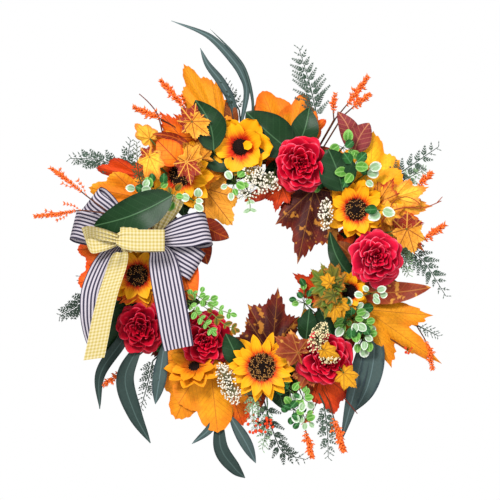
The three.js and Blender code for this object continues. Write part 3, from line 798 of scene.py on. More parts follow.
def heather(shape, path, depth, reach=7.0):
    """A sprig bare at its foot and thick with small buds above, with two twigs to a side."""
    rough = smooth_path([[x, 0, z] for x, z in path], 30)
    rows = max(7, int(path_lengths(rough)[-1] / BUD_PITCH))
    rise = 2.5 * (len(path) - 1)
    spine = smooth_path(lifted(path, shape.layer + depth, lambda share: rise * share), rows)
    tube(shape, spine, np.linspace(0.9, 0.5, rows), BROWN_STEM, sides=4)
    ahead = np.gradient(spine, axis=0)
    bare = int(0.4 * rows)
    shares = np.linspace(0, 1, rows - bare)
    bud_run(shape, spine[bare:], reach * (0.6 + 0.55 * np.sin(math.pi * (0.15 + 0.65 * shares))), HEATHER)
    for k, share in enumerate((0.35, 0.5, 0.68)):
        at = int(share * rows)
        forward = unit(ahead[at])
        sideways = np.array([-forward[2], 0.2, forward[0]]) * (1 if k % 2 else -1)
        length = 0.22 * rows * BUD_PITCH * (1.2 - share)
        steps = max(3, int(length / BUD_PITCH))
        twig = smooth_path([spine[at], spine[at] + length * (0.5 * forward + 0.35 * sideways),
                            spine[at] + length * (1.1 * forward + 0.5 * sideways)], steps)
        tube(shape, twig, 0.4, HEATHER, sides=3)
        bud_run(shape, twig, reach * 0.9 * np.linspace(0.6, 1, steps), HEATHER)
    stem_to_ring(shape, spine[0], 1.0, BROWN_STEM)


def tendril(shape, path, depth, radius=0.8, colour=TENDRIL):
    rise = 1.5 * (len(path) - 1)
    spine = smooth_path(lifted(path, shape.layer + depth, lambda share: rise * share), 6 * len(path))
    tube(shape, spine, np.linspace(1.2 * radius, 0.7 * radius, len(spine)), colour, sides=5)


BEAD_POINTS = [(0, 0, 1), (0.89, 0, 0.45), (0.28, 0.85, 0.45), (-0.72, 0.53, 0.45), (-0.72, -0.53, 0.45),
               (0.28, -0.85, 0.45), (0.72, 0.53, -0.45), (-0.28, 0.85, -0.45), (-0.89, 0, -0.45),
               (-0.28, -0.85, -0.45), (0.72, -0.53, -0.45), (0, 0, -1)]
BEAD_FACES = ([(0, 1 + k, 1 + (k + 1) % 5) for k in range(5)]
              + [(1 + k, 6 + k, 1 + (k + 1) % 5) for k in range(5)]
              + [(1 + (k + 1) % 5, 6 + k, 6 + (k + 1) % 5) for k in range(5)]
              + [(11, 6 + (k + 1) % 5, 6 + k) for k in range(5)])


def bead(shape, place, radius, colour):
    points = np.asarray(place, float) + radius * np.array(BEAD_POINTS)
    shape.add(points, BEAD_FACES, "sprig", hue(colour) * RNG.uniform(0.86, 1.05))


def bead_cluster(shape, middle, size, depth, count, radius=1.35, turn=0.0, colour=CREAM, stem=PALE_STEM):
    """A small-flowered cluster: fine branching stems, each with a round bud at its end."""
    depth = shape.layer + depth
    root = np.array([middle[0], depth - 12, middle[1]])
    for _ in range(count):
        around = RNG.uniform(0, 2 * math.pi)
        away = math.sqrt(RNG.uniform(0, 1))
        x = away * math.cos(around) * size[0] / 2
        z = away * math.sin(around) * size[1] / 2
        place = np.array([middle[0] + x * math.cos(turn) - z * math.sin(turn),
                          depth + (1 - away ** 2) * 6 + RNG.uniform(-2, 2),
                          middle[1] + x * math.sin(turn) + z * math.cos(turn)])
        branch = root + (place - root) * 0.45 + RNG.uniform(-1, 1, 3)
        tube(shape, [root, branch, place], [0.4, 0.3, 0.2], stem, sides=3)
        bead(shape, place, radius * RNG.uniform(0.7, 1.2), colour)
    stem_to_ring(shape, root, 0.9, stem)


def sprout(shape, path, depth, pairs, size, palette, end_leaf=True):
    """A soft stem with pairs of small round leaves."""
    spine = smooth_path(lifted(path, shape.layer + depth, lambda share: 6 * share), 4 * pairs)
    tube(shape, spine, 0.55, SPROUT_STEM, sides=4)
    ahead = np.gradient(spine, axis=0)
    for i in range(pairs):
        at = spine[4 * i + 2]
        forward = unit(ahead[4 * i + 2])
        for side in (-1, 1):
            direction = unit(forward * RNG.uniform(0.2, 1.2) + side * np.array([forward[2], 0, -forward[0]]))
            reach = size * RNG.uniform(0.65, 1.2)
            round_leaf(shape, at, direction, reach, palette)
    if end_leaf:
        round_leaf(shape, spine[-1], ahead[-1], size, palette)
    stem_to_ring(shape, spine[0], 0.8)


def leaf_cluster(shape, middle, area, depth, count, size, palettes):
    """Small round leaves on short stalks from one stem, spread over an area [width, height]."""
    root = np.array([middle[0], shape.layer + depth - 10, middle[1]])
    for i in range(count):
        around = SPIRAL_TURN * i + RNG.uniform(-0.4, 0.4)
        away = math.sqrt((i + 0.5) / count)
        place = root + np.array([away * math.cos(around) * area[0] / 2, 10 - 5 * away + RNG.uniform(-2, 2),
                                 away * math.sin(around) * area[1] / 2])
        tube(shape, [root, (root + place) / 2 + [0, 2, 0], place], 0.4, CLUSTER_STEM, sides=4)
        direction = [math.cos(around) + RNG.uniform(-0.7, 0.7), 0.2,
                     math.sin(around) + RNG.uniform(-0.7, 0.7)]
        round_leaf(shape, place, direction, size * RNG.uniform(0.75, 1.2), palettes[i % len(palettes)], 0.85)
    stem_to_ring(shape, root, 0.8)


def round_leaf(shape, place, direction, length, palette, width=0.72):
    """One small round leaf, cupped and facing forward."""
    direction = unit(direction)
    tip = place + direction * length
    lean = RNG.uniform(-0.3, 0.5) * length
    depths = (place[1], place[1] + lean)
    small_leaf(shape, (place[0], place[2]), (tip[0], tip[2]), length * width, depths, palette)


def small_leaf(shape, base, tip, width, depths, palette):
    """A leaf small enough for a coarse mesh."""
    rows, columns = 7, 5
    axes = leaf_axes(base, tip, depths)
    length = axes[1]
    t, v = grid(rows, columns)
    half = width / 2 * np.sqrt(np.clip(np.sin(np.pi * (0.03 + 0.95 * t)), 0, 1))
    height = 0.3 * np.abs(v) * half - 0.25 * length * (t - 0.4) ** 2
    vein_place = columns_of(np.abs(v * half), t * length, np.maximum(v ** 2, t ** 3) * 1.15)
    lay_leaf(shape, axes, v * half, t * length, height, grid_faces(rows, columns), "leaf", palette,
             vein_place)


# ---------------------------------------------------------------- flower heads

class Head:
    """A flower head's centre and the directions across, up and out of its face."""

    def __init__(self, centre, facing=(0, 1, 0)):
        self.centre = np.asarray(centre, float)
        self.out = unit(facing)
        across = np.array([1.0, 0, 0])
        self.across = unit(across - np.dot(across, self.out) * self.out)
        up = np.array([0, 0, 1.0])
        up = up - np.dot(up, self.out) * self.out - np.dot(up, self.across) * self.across
        self.up = unit(up)

    def place(self, x, y, out):
        x, y, out = (np.asarray(value, float).ravel()[:, None] for value in (x, y, out))
        return self.centre + x * self.across + y * self.up + out * self.out


PETAL_ROWS = 10
PETAL_COLUMNS = 7


def sun_petal(shape, head, angle, root, reach, width, low, lift, curl, silk, point):
    """One sunflower petal. Point near 1 gives a sharp end and near 0 a rounded one."""
    t, v = grid(PETAL_ROWS, PETAL_COLUMNS)
    half = np.clip(np.sin(np.pi * (0.12 + 0.88 * t ** (1.15 - 0.3 * point))), 0, 1) ** (0.45 + 0.5 * point)
    half = width / 2 * half * (1 + 0.05 * np.sin(11 * t + 3 * v + angle))
    along = root + (reach - root) * t * (1 - 0.06 * (1 - point) * v ** 2)
    ripple = 0.05 * width * np.cos(3 * math.pi * v) * np.sin(math.pi * t)
    out = low + lift * np.sin(1.7 * t) + curl * t ** 3 + 0.32 * half * v ** 2 + ripple
    across = v * half
    x = along * math.cos(angle) - across * math.sin(angle)
    y = along * math.sin(angle) + across * math.cos(angle)
    body, rim, vein = hues(silk)
    tone = RNG.uniform(0.93, 1.06)
    shape.add(head.place(x, y, out), grid_faces(PETAL_ROWS, PETAL_COLUMNS), "petal", body * tone, rim * tone,
              vein, columns_of(across, t, np.abs(v)))


def sunflower(shape, head, radius, disc, whorls, point, silk=SUN_SILK):
    """Whorls of petals, each (petal count, reach share, width share, height, lift, curl)."""
    for layer, (count, reach, width, low, lift, curl) in enumerate(whorls):
        for i in range(count):
            angle = 2 * math.pi * (i + 0.5 * layer) / count + RNG.uniform(-0.09, 0.09)
            sun_petal(shape, head, angle, 0.7 * disc, radius * reach * RNG.uniform(0.92, 1.04),
                      radius * width * RNG.uniform(0.9, 1.1), low, lift * RNG.uniform(0.7, 1.3),
                      curl * RNG.uniform(0.2, 1.6), silk, point)
    calyx(shape, head, radius=0.62 * radius, out=-2.5)


def calyx(shape, head, radius, out):
    """The green cup and its pointed sepals behind a head, and the stem into the vine."""
    for i in range(9):
        angle = 2 * math.pi * i / 9
        direction = head.across * math.cos(angle) + head.up * math.sin(angle)
        base = head.centre + head.out * (out - 1.5) + direction * 0.2 * radius
        side = np.cross(head.out, direction)
        tip = base + direction * 0.8 * radius + head.out * 1.0
        middle = base + direction * 0.4 * radius
        root, waist = 0.1 * radius * side, 0.16 * radius * side
        points = [base - root, middle - waist, tip, middle + waist, base + root]
        shape.add(points, [(0, 1, 2, 3, 4)], "sprig", hue(CALYX) * RNG.uniform(0.85, 1.1))
    back = head.centre + head.out * (out - 7)
    tube(shape, [back, head.centre + head.out * (out - 3), head.centre + head.out * out],
         [1.8, 0.2 * radius, 0.3 * radius], CALYX, sides=10)
    stem_to_ring(shape, back, 2.0)


GOLDEN_ANGLE = 137.508  # from one floret to the next, in degrees


def seed_disc(shape, head, radius, low, dome, count, tips):
    """A domed disc packed with florets in a sunflower spiral. Tips is the share with a pale end."""
    rings = 8
    sides = 24
    share, angle = np.meshgrid(np.linspace(0.001, 1, rings), 2 * math.pi * np.arange(sides) / sides,
                               indexing="ij")
    x = radius * share * np.cos(angle)
    y = radius * share * np.sin(angle)
    out = low + dome * np.sqrt(1 - 0.9 * share ** 2)
    faces = [tuple(reversed(face)) for face in grid_faces(rings, sides, wraps=True)]
    shape.add(head.place(x, y, out), faces, "seed", hue(SEED_BED))
    for i in range(count):
        away = math.sqrt((i + 0.5) / count)
        turn = i * math.radians(GOLDEN_ANGLE)
        at = head.place(radius * away * math.cos(turn), radius * away * math.sin(turn),
                        low + dome * math.sqrt(1 - 0.9 * away ** 2) - 0.4)[0]
        outward = head.across * math.cos(turn) + head.up * math.sin(turn)
        direction = head.out + outward * (0.25 + 0.6 * away)
        pale = RNG.uniform() < tips and 0.25 < away
        colour = FLORET_TIP if pale else (FLORET if away > 0.45 else FLORET_MIDDLE)
        bud(shape, at, direction, 1.6 + 1.6 * away, 0.42 + 0.5 * radius / 16, colour, "seed")


# Peony layers from the outside in: petals, reach, height at the root and at the rim, half spread
PEONY_LAYERS = [
    (5, 1.00, 0.02, 0.20, 42), (5, 0.93, 0.08, 0.40, 40), (5, 0.80, 0.16, 0.62, 40),
    (5, 0.64, 0.25, 0.80, 40), (5, 0.50, 0.34, 0.92, 38), (4, 0.38, 0.42, 1.00, 42),
    (4, 0.28, 0.50, 1.02, 40), (3, 0.18, 0.55, 1.00, 50), (3, 0.09, 0.60, 0.96, 56),
]
PEONY_ROWS = 11
PEONY_COLUMNS = 15


def peony(shape, head, radius, depth, silk=PEONY_SILK_AND_HIGHLIGHT):
    """A full rosette of ruffled, cupped petals."""
    t, v = grid(PEONY_ROWS, PEONY_COLUMNS)
    # rim is the painted pink highlight along the petals' edges
    body, rim, vein = hues(silk)
    for layer, (count, reach, low, high, spread_angle) in enumerate(PEONY_LAYERS):
        for i in range(count):
            turn = 2 * math.pi * (i + 0.37 * layer) / count + RNG.uniform(-0.28, 0.28)
            phase = RNG.uniform(0, 2 * math.pi)
            size = reach * RNG.uniform(0.86, 1.05)
            notch = 0.09 * np.exp(-((v - 0.3 * math.sin(phase)) / 0.16) ** 2) * t ** 4
            rounded = 1 - 0.24 * np.abs(v) ** 2.6 - notch
            away = radius * size * (0.12 + 0.88 * (1 - (1 - t) ** 1.7)) * rounded
            away = away + 0.06 * radius * t ** 2 * np.sin(4 * v + phase) * (0.4 + 0.6 * size)
            rise = high * RNG.uniform(0.88, 1.08)
            out = depth * (low + (rise - low) * t ** 1.5 * (0.85 + 0.15 * rounded))
            out = out + 0.11 * depth * t ** 3 * np.sin(5 * v + 2 * phase) - 0.2 * depth * t ** 9
            angle = turn + np.radians(spread_angle) * v * (0.55 + 0.45 * t ** 0.5)
            tone = RNG.uniform(0.78, 1.15)
            shape.add(head.place(away * np.cos(angle), away * np.sin(angle), out),
                      grid_faces(PEONY_ROWS, PEONY_COLUMNS), "peony", body * tone, rim * tone, vein,
                      columns_of(v, t, t))
    calyx(shape, head, radius=0.55 * radius, out=1.0)


# ---------------------------------------------------------------- vine, hanger and wires

def strand_path(index, orbit_extra, turns_extra, phase, count=96):
    """One thin vine wound round a strand of the bundle."""
    path = []
    for i in range(count):
        ring = 2 * math.pi * i / count
        orbit = STRAND_TURNS * ring + math.pi / 2 * index
        wobble = orbit_extra * (1 + 0.2 * math.sin(5 * ring + phase))
        own = turns_extra * ring + phase
        outward = STRAND_ORBIT * math.cos(orbit) + wobble * math.cos(own)
        forward = STRAND_ORBIT * math.sin(orbit) + wobble * math.sin(own)
        away = RING_RADIUS + outward
        path.append([away * math.cos(ring), BUNDLE_DEPTH + forward, away * math.sin(ring)])
    return np.array(path)


VINE_ORBITS = [3.4, 3.4, 3.4, 3.4, 0.8]  # how far each thin vine is from its strand's centre
VINE_TURNS = 3
VINE_RADII = (1.7, 2.4)  # least and most


def build_vine():
    for index in range(4):
        shape = Shape()
        for k, orbit in enumerate(VINE_ORBITS):
            path = strand_path(index, orbit, VINE_TURNS, 2 * math.pi * k / 4 + index)
            tube(shape, path, RNG.uniform(*VINE_RADII), VINE, 6, "bark", closed=True)
        shape.finish(f"grapevine_{index + 1}", f"vine_strand_{index + 1}")


WIRE_RADIUS = 0.9
TIE_POINTS = 28  # round each turn of a tie


def wrapped_loop(node, turns, radius, colour, material, skew=0.0):
    """Turns of a tie round the bundle where a CAD node goes round it."""
    middle = middle_of(node)
    ring = math.atan2(middle[2], middle[0])
    reach = STRAND_ORBIT + STRAND_RADIUS + radius + 0.8
    outward = np.array([math.cos(ring), 0, math.sin(ring)])
    along = np.array([-math.sin(ring), 0, math.cos(ring)])
    centre = RING_RADIUS * outward + np.array([0, BUNDLE_DEPTH, 0])
    shape = Shape()
    for turn in range(turns):
        shift = (turn - (turns - 1) / 2) * 2.1 * radius
        path = []
        for i in range(TIE_POINTS):
            angle = 2 * math.pi * i / TIE_POINTS
            slant = skew * math.sin(angle + turn)
            path.append(centre + reach * (math.cos(angle) * outward + math.sin(angle) * np.array([0, 1, 0]))
                        + (shift + slant) * along)
        tube(shape, path, radius, colour, 6, material, closed=True)
    return shape


def build_ties():
    for node in ("vine_binding_1", "vine_binding_2"):
        shape = wrapped_loop(node, turns=3, radius=1.3, colour=TIE, material="bark", skew=2.0)
        shape.finish(node + "_bark", node)
    shape = wrapped_loop("bow_tie_wire", turns=2, radius=WIRE_RADIUS, colour=WIRE, material="wire")
    knot = middle_of("bow_knot")
    back = local_box("bow_knot")[0][1]
    root = ring_root(knot)
    path = smooth_path([root, [knot[0], back - 12, knot[2]], [knot[0], back + 4, knot[2]]], 10)
    for side in (-1.1, 1.1):
        tube(shape, path + [side, 0, 0], WIRE_RADIUS, WIRE, 6, "wire")
    shape.finish("bow_tie_wires", "bow_tie_wire")


def build_hanger():
    """The frame's own wrap and loop are the real shapes, so they keep them and take a wire finish."""
    for node in ("hanger_wrap", "hanging_loop"):
        mesh = frame["nodes"][node].data
        mesh.materials.clear()
        mesh.materials.append(MATERIALS["wire"])
        mesh.polygons.foreach_set("use_smooth", [True] * len(mesh.polygons))


# ---------------------------------------------------------------- the picks of leaves and sprays

# Each piece's name, the CAD node it stands for or its slot, and its parts as (maker, the maker's
# values). Depths count from the front of the CAD node, and from the hook's plane in a piece that
# stands for none.
SPRAYS = [
    ("maple_pick_top_left_leaves", "maple_pick_top_left", [
        (maple, (-44, 154), (-85, 230), 44, (0, 8), "honey", -0.1, 0.9),
        (maple, (-38, 150), (-48, 210), 34, (-3, 2), "honey", -0.1, 0.88),
        (maple, (-72, 124), (-112, 172), 58, (-3, 4), "orange", -0.1, 0.84),
        (maple, (-92, 120), (-130, 150), 44, (0, 4), "amber", -0.1, 0.84),
        (maple, (-62, 144), (-96, 170), 44, (10, 15), "orange", 0.1, 0.84),
        (maple, (-127, 143), (-144, 160), 24, (14, 17), "yellow", -0.1, 0.9),
        (maple, (-64, 118), (-88, 138), 30, (24, 34), "golden", 0.3),
        (oval, (-30, 150), (-34, 194), 18, (-4, -1), "brown", 0.0, 0.05),
        (oval, (-78, 134), (-124, 148), 10, (18, 22), "rust", 0.0, 0.08),
    ]),
    ("maple_pick_left_leaves", "maple_pick_left", [
        (maple, (-138, 98), (-190, 108), 32, (-2, 4), "flame", -0.08, 0.88),
        (maple, (-138, 72), (-198, 84), 54, (6, 11), "amber", -0.08, 0.9),
    ]),
    ("maple_leaf_outer_left_leaves", "maple_leaf_outer_left", [
        (maple, (-178, 12), (-214, 10), 42, (0, 2), "tangerine", -0.1, 0.92),
        (maple, (-172, -20), (-213, -30), 58, (-1, 3), "tangerine", -0.1, 0.92),
    ]),
    ("maple_pick_top_leaves", "maple_pick_top", [
        (maple, (34, 136), (8, 200), 54, (-2, 3), "pumpkin", -0.08, 0.97),
        (maple, (42, 136), (58, 197), 50, (0, 4), "pumpkin", -0.1, 0.97),
        (maple, (54, 140), (84, 166), 26, (-2, 1), "orange", -0.1, 0.95),
    ]),
    ("maple_pick_upper_right_leaves", "maple_pick_upper_right", [
        (maple, (134, 66), (141, 148), 74, (-1, 6), "sunny", -0.08, 0.88),
        (maple, (124, 84), (120, 130), 40, (0, 3), "sunny", -0.1, 0.93),
        (maple, (124, 62), (173, 104), 62, (6, 12), "sunny", -0.1, 0.9),
    ]),
    ("maple_pick_right_leaves", "maple_pick_right", [
        (maple, (146, 60), (206, 62), 58, (-2, 4), "yellow", -0.1, 0.84),
        (maple, (158, 52), (198, 12), 50, (3, 9), "ember", -0.12),
        (maple, (166, 72), (204, 84), 36, (4, 8), "yellow", 0.1, 0.84),
        (maple, (146, 66), (164, 94), 30, (6, 10), "ember", 0.1),
        (maple, (180, 30), (181, 53), 36, (14, 18), "wine_gold", -0.1, 0.84),
        (maple, (181, 35), (189, 7), 36, (15, 19), "golden", -0.1, 0.84),
        (maple, (150, 58), (178, 42), 26, (12, 15), "yellow", -0.1, 0.84),
    ]),
    ("maple_leaf_lower_right_leaves", "maple_leaf_lower_right", [
        (maple, (132, -62), (215, -121), 84, (-1, 6), "honey", -0.1, 0.64),
    ]),
    ("maple_pick_bottom_right_leaves", "maple_pick_bottom_right", [
        (maple, (78, -138), (94, -186), 46, (0, 5), "flame", -0.1, 0.9),
        (maple, (66, -136), (62, -168), 34, (0, 4), "rust", -0.1, 0.84),
    ]),
    ("maple_leaf_bottom_left_leaves", "maple_leaf_bottom_left", [
        (maple, (-56, -118), (-46, -208), 104, (2, 8), "honey", -0.06, 0.95),
        (maple, (-62, -118), (-96, -192), 84, (-1, 4), "honey", -0.08, 0.92),
        (maple, (-44, -124), (-16, -200), 64, (-3, 2), "orange", -0.08, 0.93),
        (maple, (-84, -120), (-110, -146), 38, (-4, 0), "flame", -0.1, 0.84),
    ]),
    ("burgundy_leaf_top_leaves", "burgundy_leaf_top", [
        (maple, (70, 84), (52, 2), 80, (-2, 6), "burgundy", -0.08, 0.84),
    ]),
    ("burgundy_leaf_bottom_leaves", "burgundy_leaf_bottom", [
        (maple, (20, -108), (26, -42), 66, (-2, 6), "burgundy", -0.08, 0.84),
        (maple, (12, -108), (-10, -74), 44, (-3, 2), "burgundy", -0.08, 0.84),
    ]),
    ("golden_leaves_inner_leaves", "golden_leaves_inner", [
        (maple, (-62, 84), (-30, 42), 54, (0, 8), "golden", -0.1, 0.88),
        (oval, (-68, 44), (-32, 24), 26, (0, 5), "rust", -0.1, 0.05),
        (oval, (-76, 30), (-58, -8), 26, (1, 5), "rust", -0.1, -0.06),
        (oval, (-84, 4), (-73, -50), 34, (16, 22), "tangerine", -0.1, 0.1),
    ]),
    ("folded_leaf_right_leaves", "folded_leaf_right", [
        (oval, (112, -38), (210, -35), 28, (6, 10), "russet", -0.1, 0.05),
        (oval, (116, -32), (178, -36), 26, (3, 6), "burgundy", -0.1, -0.05),
    ]),
    ("dark_leaves_top_leaves", "dark_leaves_top", [
        (oval, (44, 126), (-12, 175), 50, (12, 12), "dark", -0.12, -0.02, "gloss"),
        (oval, (50, 134), (64, 180), 34, (9, 9), "dark", -0.12, 0.05, "gloss"),
        (oval, (104, 80), (86, 130), 46, (17, 20), "dark", -0.12, 0.03, "gloss"),
    ]),
    ("dark_leaf_bow_leaves", "dark_leaf_bow", [
        (oval, (-98, 74), (-191, 38), 44, (15, 9), "dark", -0.14, -0.05, "gloss"),
    ]),
    ("willow_spray_top_blades", "willow_spray_top", [
        (blade, [(-18, 160), (-11, 200), (-17, 222), (-30, 241), (-50, 262), (-68, 273), (-102, 286)], 10,
         "willow"),
        (blade, [(-5, 160), (-4, 190), (-13, 226), (-30, 250), (-55, 276)], 4, "willow_dark"),
        (blade, [(-22, 158), (-29, 188), (-42, 212), (-58, 233), (-67, 253)], 11, "willow"),
    ]),
    ("willow_spray_bottom_left_blades", "willow_spray_bottom_left", [
        (blade, [(-150, -86), (-164, -104), (-187, -140), (-188, -182)], 15, "willow_dark"),
        (blade, [(-140, -104), (-157, -144), (-146, -186), (-127, -223)], 22, "willow_dark"),
        (blade, [(-110, -104), (-116, -146), (-121, -176)], 17, "willow"),
    ]),
    ("willow_spray_bottom_blades", "willow_spray_bottom", [
        (blade, [(-46, -190), (-56, -206), (-77, -224)], 10, "willow"),
        (blade, [(-44, -190), (-42, -228), (-26, -252), (-13, -265)], 18, "willow_dark"),
        (blade, [(-30, -192), (-12, -222), (0, -247)], 15, "willow"),
    ]),
    ("willow_spray_lower_right_blades", "willow_spray_lower_right", [
        (blade, [(134, -92), (126, -128), (116, -170), (103, -221)], 20, "willow"),
        (blade, [(140, -80), (142, -118), (134, -156), (119, -185)], 27, "willow"),
    ]),
    ("fern_top", "fern_spray_top", [
        (frond, [(74, 170), (65, 208), (52, 252)], 62, 0, FERN, 10),
    ]),
    # The paler fronds here and in the bottom spray are painted highlights
    ("fern_right", "fern_spray_right", [
        (frond, [(152, 88), (185, 110), (220, 134)], 44, 0, FERN, 8, 1.05),
        (frond, [(160, 84), (186, 98), (204, 106)], 30, -2, FERN_PAINTED_HIGHLIGHT, 8, 1.2),
        (frond, [(170, 20), (200, -2), (229, -46)], 50, -2, FERN, 10, 1.15),
        (frond, [(170, 22), (178, 0), (184, -20)], 30, 0, FERN_PAINTED_HIGHLIGHT, 8, 1.3),
    ]),
    ("fern_bottom", "fern_spray_bottom", [
        (frond, [(10, -172), (22, -212), (34, -234), (60, -242)], 46, 0, FERN_DARK, 9, 1.15),
        (frond, [(14, -176), (12, -206), (8, -230)], 28, -2, FERN_PAINTED_HIGHLIGHT, 8, 1.15),
        (frond, [(82, -176), (86, -208), (87, -240)], 34, 0, FERN, 9, 1.15),
        (frond, [(2, -150), (-4, -176), (-2, -202)], 30, 10, FERN_PAINTED_HIGHLIGHT, 8),
    ]),
    ("fern_left_upper", "fern", [
        (frond, [(-150, 104), (-190, 118), (-224, 120)], 40, 40, FERN, 11, 1.2),
        (frond, [(-152, 106), (-154, 120), (-151, 142)], 24, 42, FERN, 7, 1.4),
        (frond, [(-137, 86), (-141, 110), (-142, 138)], 18, 66, FERN_OLIVE, 11, 1.4),
    ]),
    ("fern_left_lower", "fern", [
        (frond, [(-184, -44), (-212, -56), (-236, -70)], 44, 40, FERN_DARK, 9, 1.3),
        (frond, [(-190, -46), (-204, -34), (-212, -22)], 16, 38, FERN_DARK, 5, 1.5),
        (frond, [(-124, -124), (-130, -150), (-138, -180)], 30, 44, FERN_DARK, 11),
    ]),
    ("fern_trim", "fern", [
        (frond, [(-20, 178), (-30, 196), (-38, 214)], 26, 44, FERN_DARK, 7),
        (frond, [(196, -82), (208, -88), (220, -94)], 18, 44, FERN, 6),
    ]),
    ("heather_left", "heather_spray_left", [
        (heather, [(-176, 56), (-200, 74), (-222, 92), (-240, 105)], 52, 5.6),
        (heather, [(-172, 52), (-205, 56), (-232, 52), (-258, 49)], 54, 5.6),
    ]),
    ("heather_upper_left", "heather", [
        (heather, [(-76, 168), (-92, 188), (-113, 212)], 46),
        (heather, [(-98, 158), (-120, 170), (-145, 180)], 48),
        (heather, [(-154, -128), (-168, -142), (-182, -152)], 44, 6),
    ]),
    ("heather_right", "heather", [
        (heather, [(96, 168), (114, 190), (134, 216)], 46),
        (heather, [(104, 170), (120, 184), (136, 196)], 48),
        (heather, [(94, 166), (93, 180), (95, 196)], 47, 6),
        (heather, [(186, 78), (198, 90), (210, 101)], 50, 7),
        (heather, [(186, 14), (206, 26), (225, 39)], 54, 7),
    ]),
    ("heather_bottom", "heather", [
        (heather, [(74, -172), (66, -188), (57, -199)], 48, 5),
        (heather, [(57, -194), (62, -216), (67, -238)], 48, 7),
        (heather, [(88, -172), (96, -200), (105, -230)], 50, 8),
        (heather, [(194, -82), (206, -104), (212, -132)], 46, 6),
    ]),
    ("berry_clusters", "heather", [
        (bead_cluster, (3, -199), (38, 26), 54, 34, 2.0, 0.0, BERRY, BROWN_STEM),
        (bead_cluster, (183, -110), (10, 10), 56, 7, 1.8, 0.0, BERRY, BROWN_STEM),
    ]),
    ("vine_tendrils", "vine", [
        (tendril, [(-112, 150), (-118, 172), (-128, 186), (-140, 197)], 50),
        (tendril, [(146, 38), (160, 54), (176, 60), (200, 60), (221, 68)], 66, 0.8, RUSSET_STEM),
        (tendril, [(158, 52), (165, 68), (180, 73), (194, 66), (197, 56)], 64, 0.6, RUSSET_STEM),
        (tendril, [(216, 66), (222, 73)], 72, 0.6, RUSSET_STEM),
        (tendril, [(106, -168), (122, -187)], 50),
    ]),
    ("white_flowers_bottom", "white_flower_spray", [
        (bead_cluster, (-33, -150), (24, 54), 12.2, 190, 1.15, 0.4),
    ]),
    ("white_flowers_top", "white_flower", [
        (bead_cluster, (6, 94), (52, 30), 68, 190, 1.35, -0.5),
        (bead_cluster, (-10, 78), (30, 18), 64, 50),
    ]),
    ("white_flowers_right", "white_flower", [
        (bead_cluster, (83, 52), (18, 40), 72, 90),
    ]),
    ("cream_flowers", "white_flower", [
        (bead_cluster, (74, -94), (22, 40), 92, 150, 1.1, -0.4, IVORY),
        (bead_cluster, (86, -119), (26, 12), 92, 60, 1.1, 0.0, IVORY),
    ]),
    ("variegated_right", "variegated_spray", [
        (leaf_cluster, (116, -72), (34, 38), 16, 22, 12, ["fresh", "glossy", "pale"]),
        (leaf_cluster, (128, -94), (26, 26), 10, 12, 12, ["pale", "fresh"]),
        (leaf_cluster, (104, -66), (22, 26), 12, 8, 10, ["glossy", "fresh"]),
    ]),
    ("sprouts_left", "variegated", [
        (sprout, [(-80, -38), (-62, -50), (-46, -60), (-30, -66)], 74, 5, 8, "fresh"),
        (sprout, [(-80, -54), (-66, -70), (-52, -86)], 78, 5, 8, "fresh"),
        (sprout, [(-52, -66), (-38, -78), (-26, -84)], 78, 3, 8, "olive"),
        (leaf_cluster, (-70, -52), (40, 24), 78, 12, 8, ["fresh", "olive", "fresh"]),
    ]),
    ("sprouts_top_left", "variegated", [
        (leaf_cluster, (-26, 90), (26, 28), 72, 9, 10, ["fresh", "pale", "fresh"]),
        (sprout, [(-10, 74), (-7, 64), (-7, 56)], 66, 2, 9, "pale", False),
        (leaf_cluster, (-120, 80), (30, 24), 94, 9, 12, ["glossy", "fresh"]),
        (leaf_cluster, (-138, 80), (18, 12), 96, 4, 10, ["pale"]),
        (leaf_cluster, (-74, 68), (18, 12), 100, 4, 11, ["pale"]),
        (leaf_cluster, (-97, 73), (16, 16), 98, 4, 10, ["fresh", "olive"]),
    ]),
    ("sprouts_right", "variegated", [
        (leaf_cluster, (104, 132), (22, 24), 72, 6, 13, ["glossy", "fresh"]),
        (leaf_cluster, (116, 108), (22, 28), 76, 8, 13, ["fresh", "glossy"]),
        (leaf_cluster, (130, 100), (16, 22), 74, 4, 13, ["pale"]),
        (leaf_cluster, (148, 57), (14, 6), 84, 3, 14, ["pale", "glossy"]),
        (leaf_cluster, (136, -42), (24, 16), 96, 6, 10, ["pale"]),
        (leaf_cluster, (58, -54), (22, 44), 60, 12, 9, ["fresh", "glossy"]),
        (leaf_cluster, (80, 104), (20, 44), 56, 10, 10, ["glossy", "fresh"]),
    ]),
    ("sprouts_bottom", "variegated", [
        (leaf_cluster, (42, -158), (20, 18), 66, 8, 10, ["fresh", "glossy", "pale"]),
        (leaf_cluster, (56, -168), (20, 18), 66, 8, 10, ["fresh", "glossy", "pale"]),
        (leaf_cluster, (46, -182), (20, 18), 66, 8, 10, ["fresh", "glossy", "pale"]),
        (leaf_cluster, (58, -192), (20, 18), 66, 8, 10, ["fresh", "glossy", "pale"]),
    ]),
    ("dark_leaf_upper_left", "green_leaf", [
        (oval, (-50, 128), (-72, 188), 38, (76, 78), "dark", -0.1, 0.1, "gloss"),
    ]),
    ("dark_leaf_inner_top", "green_leaf", [
        (oval, (-66, 122), (-18, 108), 26, (60, 62), "dark", -0.1, 0.0, "gloss"),
    ]),
    ("dark_leaves_inner", "green_leaf", [
        (oval, (-18, -128), (-36, -90), 28, (60, 66), "dark", -0.1, 0.0, "gloss"),
        (oval, (60, -98), (64, -60), 24, (62, 66), "dark", -0.1, 0.0, "gloss"),
        (oval, (96, -104), (76, -58), 34, (50, 54), "dark", -0.1, 0.0, "gloss"),
    ]),
    ("dark_leaf_left", "green_leaf", [
        (oval, (-146, -46), (-178, -122), 36, (42, 44), "dark", -0.1, 0.0, "gloss"),
        (oval, (-150, -20), (-176, -66), 30, (40, 42), "dark", -0.1, 0.0, "gloss"),
    ]),
    ("rust_leaves_bottom", "rust_leaf", [
        (oval, (-4, -138), (6, -180), 26, (46, 50), "rust"),
        (oval, (22, -140), (34, -182), 28, (46, 50), "dark"),
    ]),
    ("strap_leaf_right", "green_leaf", [
